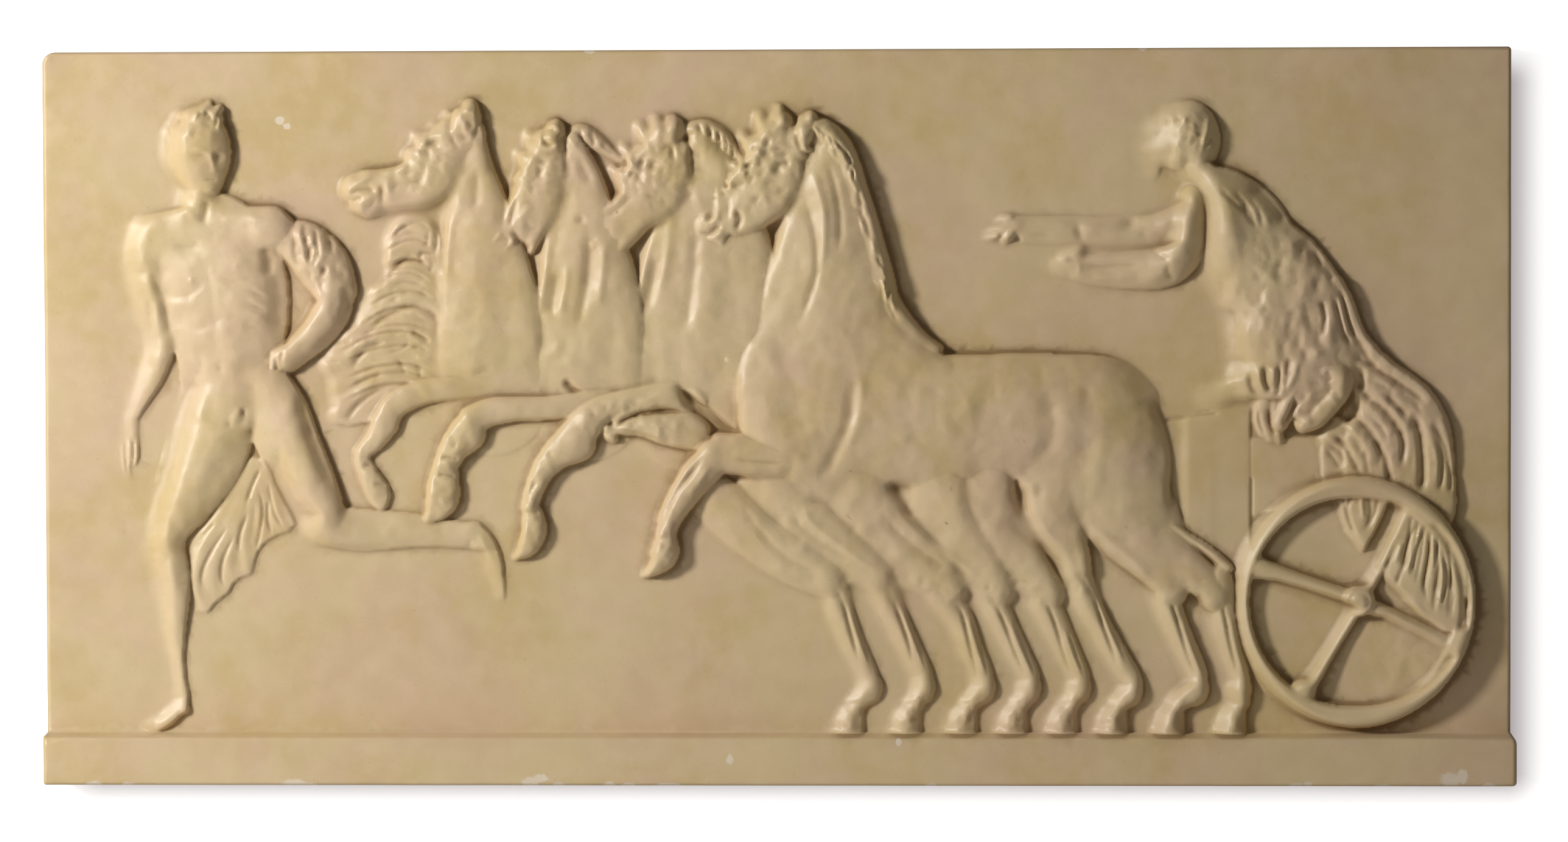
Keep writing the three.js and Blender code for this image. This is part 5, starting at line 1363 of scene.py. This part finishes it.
def panel_mesh(h):
    """A fine grid shaped into the carved front, drawn back to a flat back face and thinned where it's flat."""
    clear_selection()
    step = 1
    bpy.ops.mesh.primitive_grid_add(x_subdivisions=SHEET_LENGTH // step, y_subdivisions=SHEET_HEIGHT // step,
                                    size=1)
    panel = bpy.context.object
    panel.name = "relief_panel_plaster"
    panel.data.name = "relief_panel_plaster"
    points = front_points(h, step).reshape(-1, 3)
    panel.data.vertices.foreach_set("co", points.astype(np.float32).ravel())
    panel.data.update()
    bpy.ops.object.mode_set(mode="EDIT")
    bpy.ops.mesh.select_mode(type="EDGE")
    bpy.ops.mesh.select_all(action="DESELECT")
    bpy.ops.mesh.select_non_manifold(extend=False, use_wire=False, use_boundary=True, use_multi_face=False,
                                     use_non_contiguous=False, use_verts=False)
    bpy.ops.mesh.extrude_region_move()
    bpy.ops.object.mode_set(mode="OBJECT")
    ring = np.zeros(len(panel.data.vertices), bool)
    panel.data.vertices.foreach_get("select", ring)
    co = np.zeros(len(ring) * 3, np.float32)
    panel.data.vertices.foreach_get("co", co)
    co = co.reshape(-1, 3)
    co[ring, 1] = -BACK_ROUND * MM
    panel.data.vertices.foreach_set("co", co.ravel())
    bpy.ops.object.mode_set(mode="EDIT")
    bpy.ops.mesh.extrude_region_move(TRANSFORM_OT_translate={"value": (0, BACK_ROUND * MM, 0)})
    inward = 1 - 2 * BACK_ROUND / SHEET_LENGTH, 1, 1 - 2 * BACK_ROUND / SHEET_HEIGHT
    bpy.ops.transform.resize(value=inward, center_override=(0, 0, 0))
    bpy.ops.mesh.edge_face_add()
    bpy.ops.mesh.select_all(action="SELECT")
    bpy.ops.mesh.normals_make_consistent(inside=False)
    bpy.ops.object.mode_set(mode="OBJECT")
    thin = panel.modifiers.new("thin", "DECIMATE")
    thin.ratio = TRIANGLES / (2 * SHEET_LENGTH * SHEET_HEIGHT)
    bpy.ops.object.modifier_apply(modifier="thin")
    bpy.ops.object.shade_smooth_by_angle(angle=math.radians(75))
    return panel


def add_hollows(panel, h):
    """Stores on the points how hollow or how proud the carving is there, for dirt and painted shade in hollows and for
    wear and painted highlight on ridges.
    """
    count = len(panel.data.vertices)
    co = np.zeros(count * 3, np.float32)
    panel.data.vertices.foreach_get("co", co)
    co = co.reshape(-1, 3) / MM
    x = np.clip(co[:, 0] + SHEET_LENGTH / 2, 0, SHEET_LENGTH - 1e-3)
    z = np.clip(co[:, 2] + SHEET_HEIGHT / 2, 0, SHEET_HEIGHT - 1e-3)
    front = np.clip((-co[:, 1] - 20) / 6, 0, 1)

    def sampled(a):
        i, j = z.astype(int), x.astype(int)
        u, v = z - i, x - j
        return (a[i, j] * (1 - u) * (1 - v) + a[i + 1, j] * u * (1 - v)
                + a[i, j + 1] * (1 - u) * v + a[i + 1, j + 1] * u * v)

    kept = np.where((zs < GROUND + 1)[:, None], 0.0, h).astype(np.float32)
    wide = blur(kept, 6) - kept
    fine = blur(kept, 1.8) - kept
    for name, a in (("hollow_wide", wide / 6), ("hollow_fine", fine / 1.2), ("height", kept / 18)):
        layer = panel.data.attributes.new(name, "FLOAT", "POINT")
        layer.data.foreach_set("value", (np.clip(sampled(a), -1, 1) * front).astype(np.float32))


# Finishes
class Value:
    """A shader socket that Python arithmetic works on."""

    def __init__(self, finish, socket):
        self.finish = finish
        self.socket = socket

    def maths(self, operation, *others, clamp=False):
        node = self.finish.tree.nodes.new("ShaderNodeMath")
        node.operation = operation
        node.use_clamp = clamp
        for i, item in enumerate((self, *others)):
            self.finish.feed(node.inputs[i], item)
        return Value(self.finish, node.outputs[0])

    def __add__(self, other):
        return self.maths("ADD", other)

    __radd__ = __add__

    def __mul__(self, other):
        return self.maths("MULTIPLY", other)

    __rmul__ = __mul__

    def __sub__(self, other):
        return self.maths("SUBTRACT", other)

    def __rsub__(self, other):
        return (self * -1) + other

    def __truediv__(self, other):
        return self.maths("DIVIDE", other)

    def __pow__(self, other):
        return self.maths("POWER", other)

    def clipped(self):
        return self.maths("ADD", 0.0, clamp=True)

    def at_most(self, other):
        return self.maths("MINIMUM", other)

    def at_least(self, other):
        return self.maths("MAXIMUM", other)

    def step(self, low, high):
        """0 below low, 1 above high, and smooth between."""
        return self.finish.node("ShaderNodeMapRange", {"interpolation_type": "SMOOTHSTEP"},
                                {"Value": self, "From Min": low, "From Max": high})


class Finish:
    """A material, and one method that adds any node."""

    def __init__(self, name):
        self.material = bpy.data.materials.new(name)
        self.material.use_nodes = True
        self.tree = self.material.node_tree
        self.tree.nodes.clear()

    def feed(self, socket, item):
        if isinstance(item, Value):
            self.tree.links.new(item.socket, socket)
        elif item is not None:
            socket.default_value = item

    def node(self, kind, settings=None, inputs=None, output=0):
        node = self.tree.nodes.new(kind)
        for key, item in (settings or {}).items():
            if key == "stops":
                for spot in node.color_ramp.elements[1:-1]:
                    node.color_ramp.elements.remove(spot)
                for i, (place, colour) in enumerate(item):
                    spots = node.color_ramp.elements
                    spot = spots[i] if i < 2 and i < len(spots) else spots.new(place)
                    spot.position = place
                    spot.color = (*colour, 1)
            else:
                setattr(node, key, item)
        for key, item in (inputs or {}).items():
            self.feed(node.inputs[key], item)
        return Value(self, node.outputs[output])

    def noise(self, where, scale, detail=3.0, roughness=0.5, distortion=0.0):
        return self.node("ShaderNodeTexNoise", None, {"Vector": where, "Scale": scale, "Detail": detail,
                                                      "Roughness": roughness, "Distortion": distortion})

    def mixed(self, share, a, b, kind="MIX"):
        """A colour part way from a to b."""
        node = self.tree.nodes.new("ShaderNodeMix")
        node.data_type = "RGBA"
        node.blend_type = kind
        self.feed(node.inputs["Factor"], share)
        for name, item in (("A", a), ("B", b)):
            socket = [s for s in node.inputs if s.name == name and s.type == "RGBA"][0]
            self.feed(socket, item if isinstance(item, Value) else (*item, 1))
        return Value(self, [s for s in node.outputs if s.type == "RGBA"][0])


def shade(r, g, b):
    """A colour from its 0 to 255 screen values."""
    return tuple(((v / 255 + 0.055) / 1.055) ** 2.4 if v > 10 else v / 255 / 12.92 for v in (r, g, b))


# Bare places: x and z in millimetres, half length and half height
CHIPS = (
    (35, 0, 6, 3), (58, 0, 4, 2.4), (173, 1, 9, 3.4), (184, 0, 4, 2), (334, 2, 6, 4), (341, 5, 5, 3), (353, 0, 4, 2.6),
    (388, 0, 4, 3), (401, 0, 5, 2.4), (428, 0, 9, 2.2), (470, 18, 2.4, 3.4), (585, 30, 2.2, 2.8), (607, 0, 4, 2.2),
    (854, 0, 5, 2.4), (862, 1, 3, 2.4), (912, 0, 6, 1.8), (958, 5, 7, 5), (966, 7, 4, 5), (984, 0, 5, 2.6),
    (375, 500, 4, 2.4), (751, 500, 3, 2), (163, 453, 3.4, 2.8), (168, 449, 2.6, 2.2),
)


def plaster():
    f = Finish("tinted_plaster")
    where = f.node("ShaderNodeTexCoord", None, None, output=3)
    hollow = f.node("ShaderNodeAttribute", {"attribute_name": "hollow_wide"}, None, output=2)
    crease = f.node("ShaderNodeAttribute", {"attribute_name": "hollow_fine"}, None, output=2)
    patch = f.noise(where, 8.0, 3.0, 0.55)
    patch_two = f.noise(where, 11.0, 3.0, 0.6, 0.3)
    patch_three = f.noise(where, 26.0, 3.0, 0.6, 0.3)
    mottle = f.noise(where, 60.0, 4.0, 0.6)
    speck = f.noise(where, 420.0, 2.0, 0.6)
    base = f.mixed(patch.step(0.38, 0.62), shade(208, 186, 144), shade(207, 180, 146))
    base = f.mixed(patch_two.step(0.42, 0.66) * 0.7, base, shade(198, 173, 118))
    base = f.mixed(patch_three.step(0.5, 0.72) * 0.4, base, shade(212, 182, 156))
    base = f.mixed(mottle.step(0.35, 0.7) * 0.28, base, shade(222, 198, 162))
    base = f.mixed(speck.step(0.66, 0.75) * 0.2, base, shade(160, 132, 92))
    # darker brown in the hollows and creases: partly dirt, partly painted shade
    dirt_and_shade = ((hollow * 1.2 - 0.06).clipped() * 0.4 + (crease * 1.4 - 0.05).clipped() * 0.7).clipped()
    base = f.mixed(dirt_and_shade * 0.85, base, shade(132, 102, 60))
    # lighter on proud ridges and high points: partly wear, partly painted highlight
    wear_and_highlight = ((crease * -1.6).clipped() * 0.5 + (hollow * -0.6).clipped() * 0.25).clipped()
    base = f.mixed(wear_and_highlight * 0.22, base, shade(226, 206, 172))
    place = f.node("ShaderNodeSeparateXYZ", None, {"Vector": where})
    px = place
    pz = Value(f, place.socket.node.outputs[2])
    ragged = f.noise(where, 330.0, 4.0, 0.7) * 1.3 - 0.65
    chip = None
    for x, z, half_x, half_z in CHIPS:
        dx = (px - (x - SHEET_LENGTH / 2) * MM) / (half_x * MM)
        dz = (pz - (z - SHEET_HEIGHT / 2) * MM) / (half_z * MM)
        one = 1 - (dx * dx + dz * dz) ** 0.5
        chip = one if chip is None else chip.at_least(one)
    bare = (chip * 1.2 + 0.2 + ragged).step(0.0, 0.5)
    base = f.mixed(bare * 0.8, base, shade(226, 212, 192))
    grain = f.noise(where, 900.0, 3.0, 0.6)
    soft = f.noise(where, 90.0, 3.0, 0.5)
    relief = grain * 0.25 + soft * 0.75
    rough = 0.36 + mottle * 0.16 + dirt_and_shade * 0.25 + bare * 0.3
    bump = f.node("ShaderNodeBump", None, {"Strength": 0.25, "Distance": 0.0006, "Height": relief})
    skin = f.node("ShaderNodeBsdfPrincipled", None, {"Base Color": base, "Roughness": rough, "Normal": bump,
                                                     "Specular IOR Level": 0.5})
    out = f.tree.nodes.new("ShaderNodeOutputMaterial")
    f.feed(out.inputs["Surface"], skin)
    return f.material


def one_sided_wall():
    """A pale wall that only the front of shows, with the panel's soft shadow to the right and below."""
    f = Finish("pale_wall")
    behind = f.node("ShaderNodeNewGeometry", None, None, output=6)
    where = f.node("ShaderNodeTexCoord", None, None, output=3)
    px = f.node("ShaderNodeSeparateXYZ", None, {"Vector": where})
    pz = Value(f, px.socket.node.outputs[2])
    half_x, half_z = SHEET_LENGTH / 2 * MM, SHEET_HEIGHT / 2 * MM
    beyond_x = ((px - (half_x - 0.002)) / 0.029).at_least(0.0)
    beyond_z = ((-1 * pz - (half_z - 0.005)) / 0.026).at_least(0.0)
    reach = (beyond_x * beyond_x + beyond_z * beyond_z) ** 0.5
    from_left = px.step(-half_x - 0.004, -half_x + 0.035)
    from_top = (-1 * pz).step(-half_z - 0.004, -half_z + 0.026)
    shadow = (1 - reach.step(0.0, 1.0)) * from_left * from_top
    paint = f.node("ShaderNodeBsdfDiffuse", None, {"Color": (0.5, 0.5, 0.5, 1)})
    glow = f.node("ShaderNodeEmission", None, {"Color": (1, 1, 1, 1), "Strength": 0.92})
    lit = f.node("ShaderNodeAddShader", None, {0: paint, 1: glow})
    shaded = f.node("ShaderNodeEmission", None, {"Color": (0.42, 0.375, 0.38, 1), "Strength": 1.0})
    front = f.node("ShaderNodeMixShader", None, {0: shadow, 1: lit, 2: shaded})
    clear = f.node("ShaderNodeBsdfTransparent")
    both = f.node("ShaderNodeMixShader", None, {0: behind, 1: front, 2: clear})
    out = f.tree.nodes.new("ShaderNodeOutputMaterial")
    f.feed(out.inputs["Surface"], both)
    return f.material


def pale_floor():
    f = Finish("pale_floor")
    paint = f.node("ShaderNodeBsdfDiffuse", None, {"Color": (0.85, 0.85, 0.85, 1)})
    out = f.tree.nodes.new("ShaderNodeOutputMaterial")
    f.feed(out.inputs["Surface"], paint)
    return f.material


# Stage, camera and light
FLOOR_DROP = 0.55


def stage():
    clear_selection()
    bpy.ops.mesh.primitive_plane_add(size=8, location=(0, 0, -FLOOR_DROP))
    floor = bpy.context.object
    floor.name = "floor"
    bpy.ops.object.transform_apply(location=True, rotation=True, scale=True)
    floor.data.materials.append(pale_floor())
    bpy.ops.mesh.primitive_plane_add(size=6, location=(0, 0.002, 1), rotation=(math.radians(90), 0, 0))
    wall = bpy.context.object
    wall.name = "wall"
    bpy.ops.object.transform_apply(location=True, rotation=True, scale=True)
    wall.data.materials.append(one_sided_wall())
    wall.visible_diffuse = False
    wall.visible_glossy = False
    wall.visible_shadow = False


CAMERA_PLACE = (0.2200, -4.5, 0.2031)
CAMERA_TURN = (-2.721, -2.633, -0.211)
CAMERA_LENS = 151.0


def camera():
    data = bpy.data.cameras.new("camera")
    cam = bpy.data.objects.new("camera", data)
    bpy.context.scene.collection.objects.link(cam)
    bpy.context.scene.camera = cam
    data.sensor_width = 36
    data.lens = CAMERA_LENS
    cam.location = CAMERA_PLACE
    yaw, pitch, roll = (math.radians(a) for a in CAMERA_TURN)
    cam.rotation_euler = (math.radians(90) + pitch, -roll, -yaw)
    data.clip_end = 100


def lamp(name, place, aim, size, power, colour):
    data = bpy.data.lights.new(name, "AREA")
    data.shape = "DISK"
    data.size = size
    data.energy = power
    data.color = colour
    lamp_object = bpy.data.objects.new(name, data)
    bpy.context.scene.collection.objects.link(lamp_object)
    lamp_object.location = place
    way = Vector(aim) - Vector(place)
    lamp_object.rotation_euler = way.to_track_quat("-Z", "Y").to_euler()


def light():
    world = bpy.data.worlds.new("white_room")
    bpy.context.scene.world = world
    world.use_nodes = True
    sky = world.node_tree.nodes["Background"]
    sky.inputs["Color"].default_value = (1.0, 0.95, 0.86, 1)
    sky.inputs["Strength"].default_value = 0.145
    lamp("key", (-1.75, -1.30, 0.62), (-0.1, 0, 0), 0.36, 42, (1.0, 0.985, 0.955))
    bpy.context.scene.view_settings.view_transform = "Standard"


heights = blur(build(), 0.55)
panel = panel_mesh(heights)
add_hollows(panel, heights)
panel.data.materials.append(plaster())
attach(panel, "root")
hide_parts("relief_panel")
stage()
camera()
light()
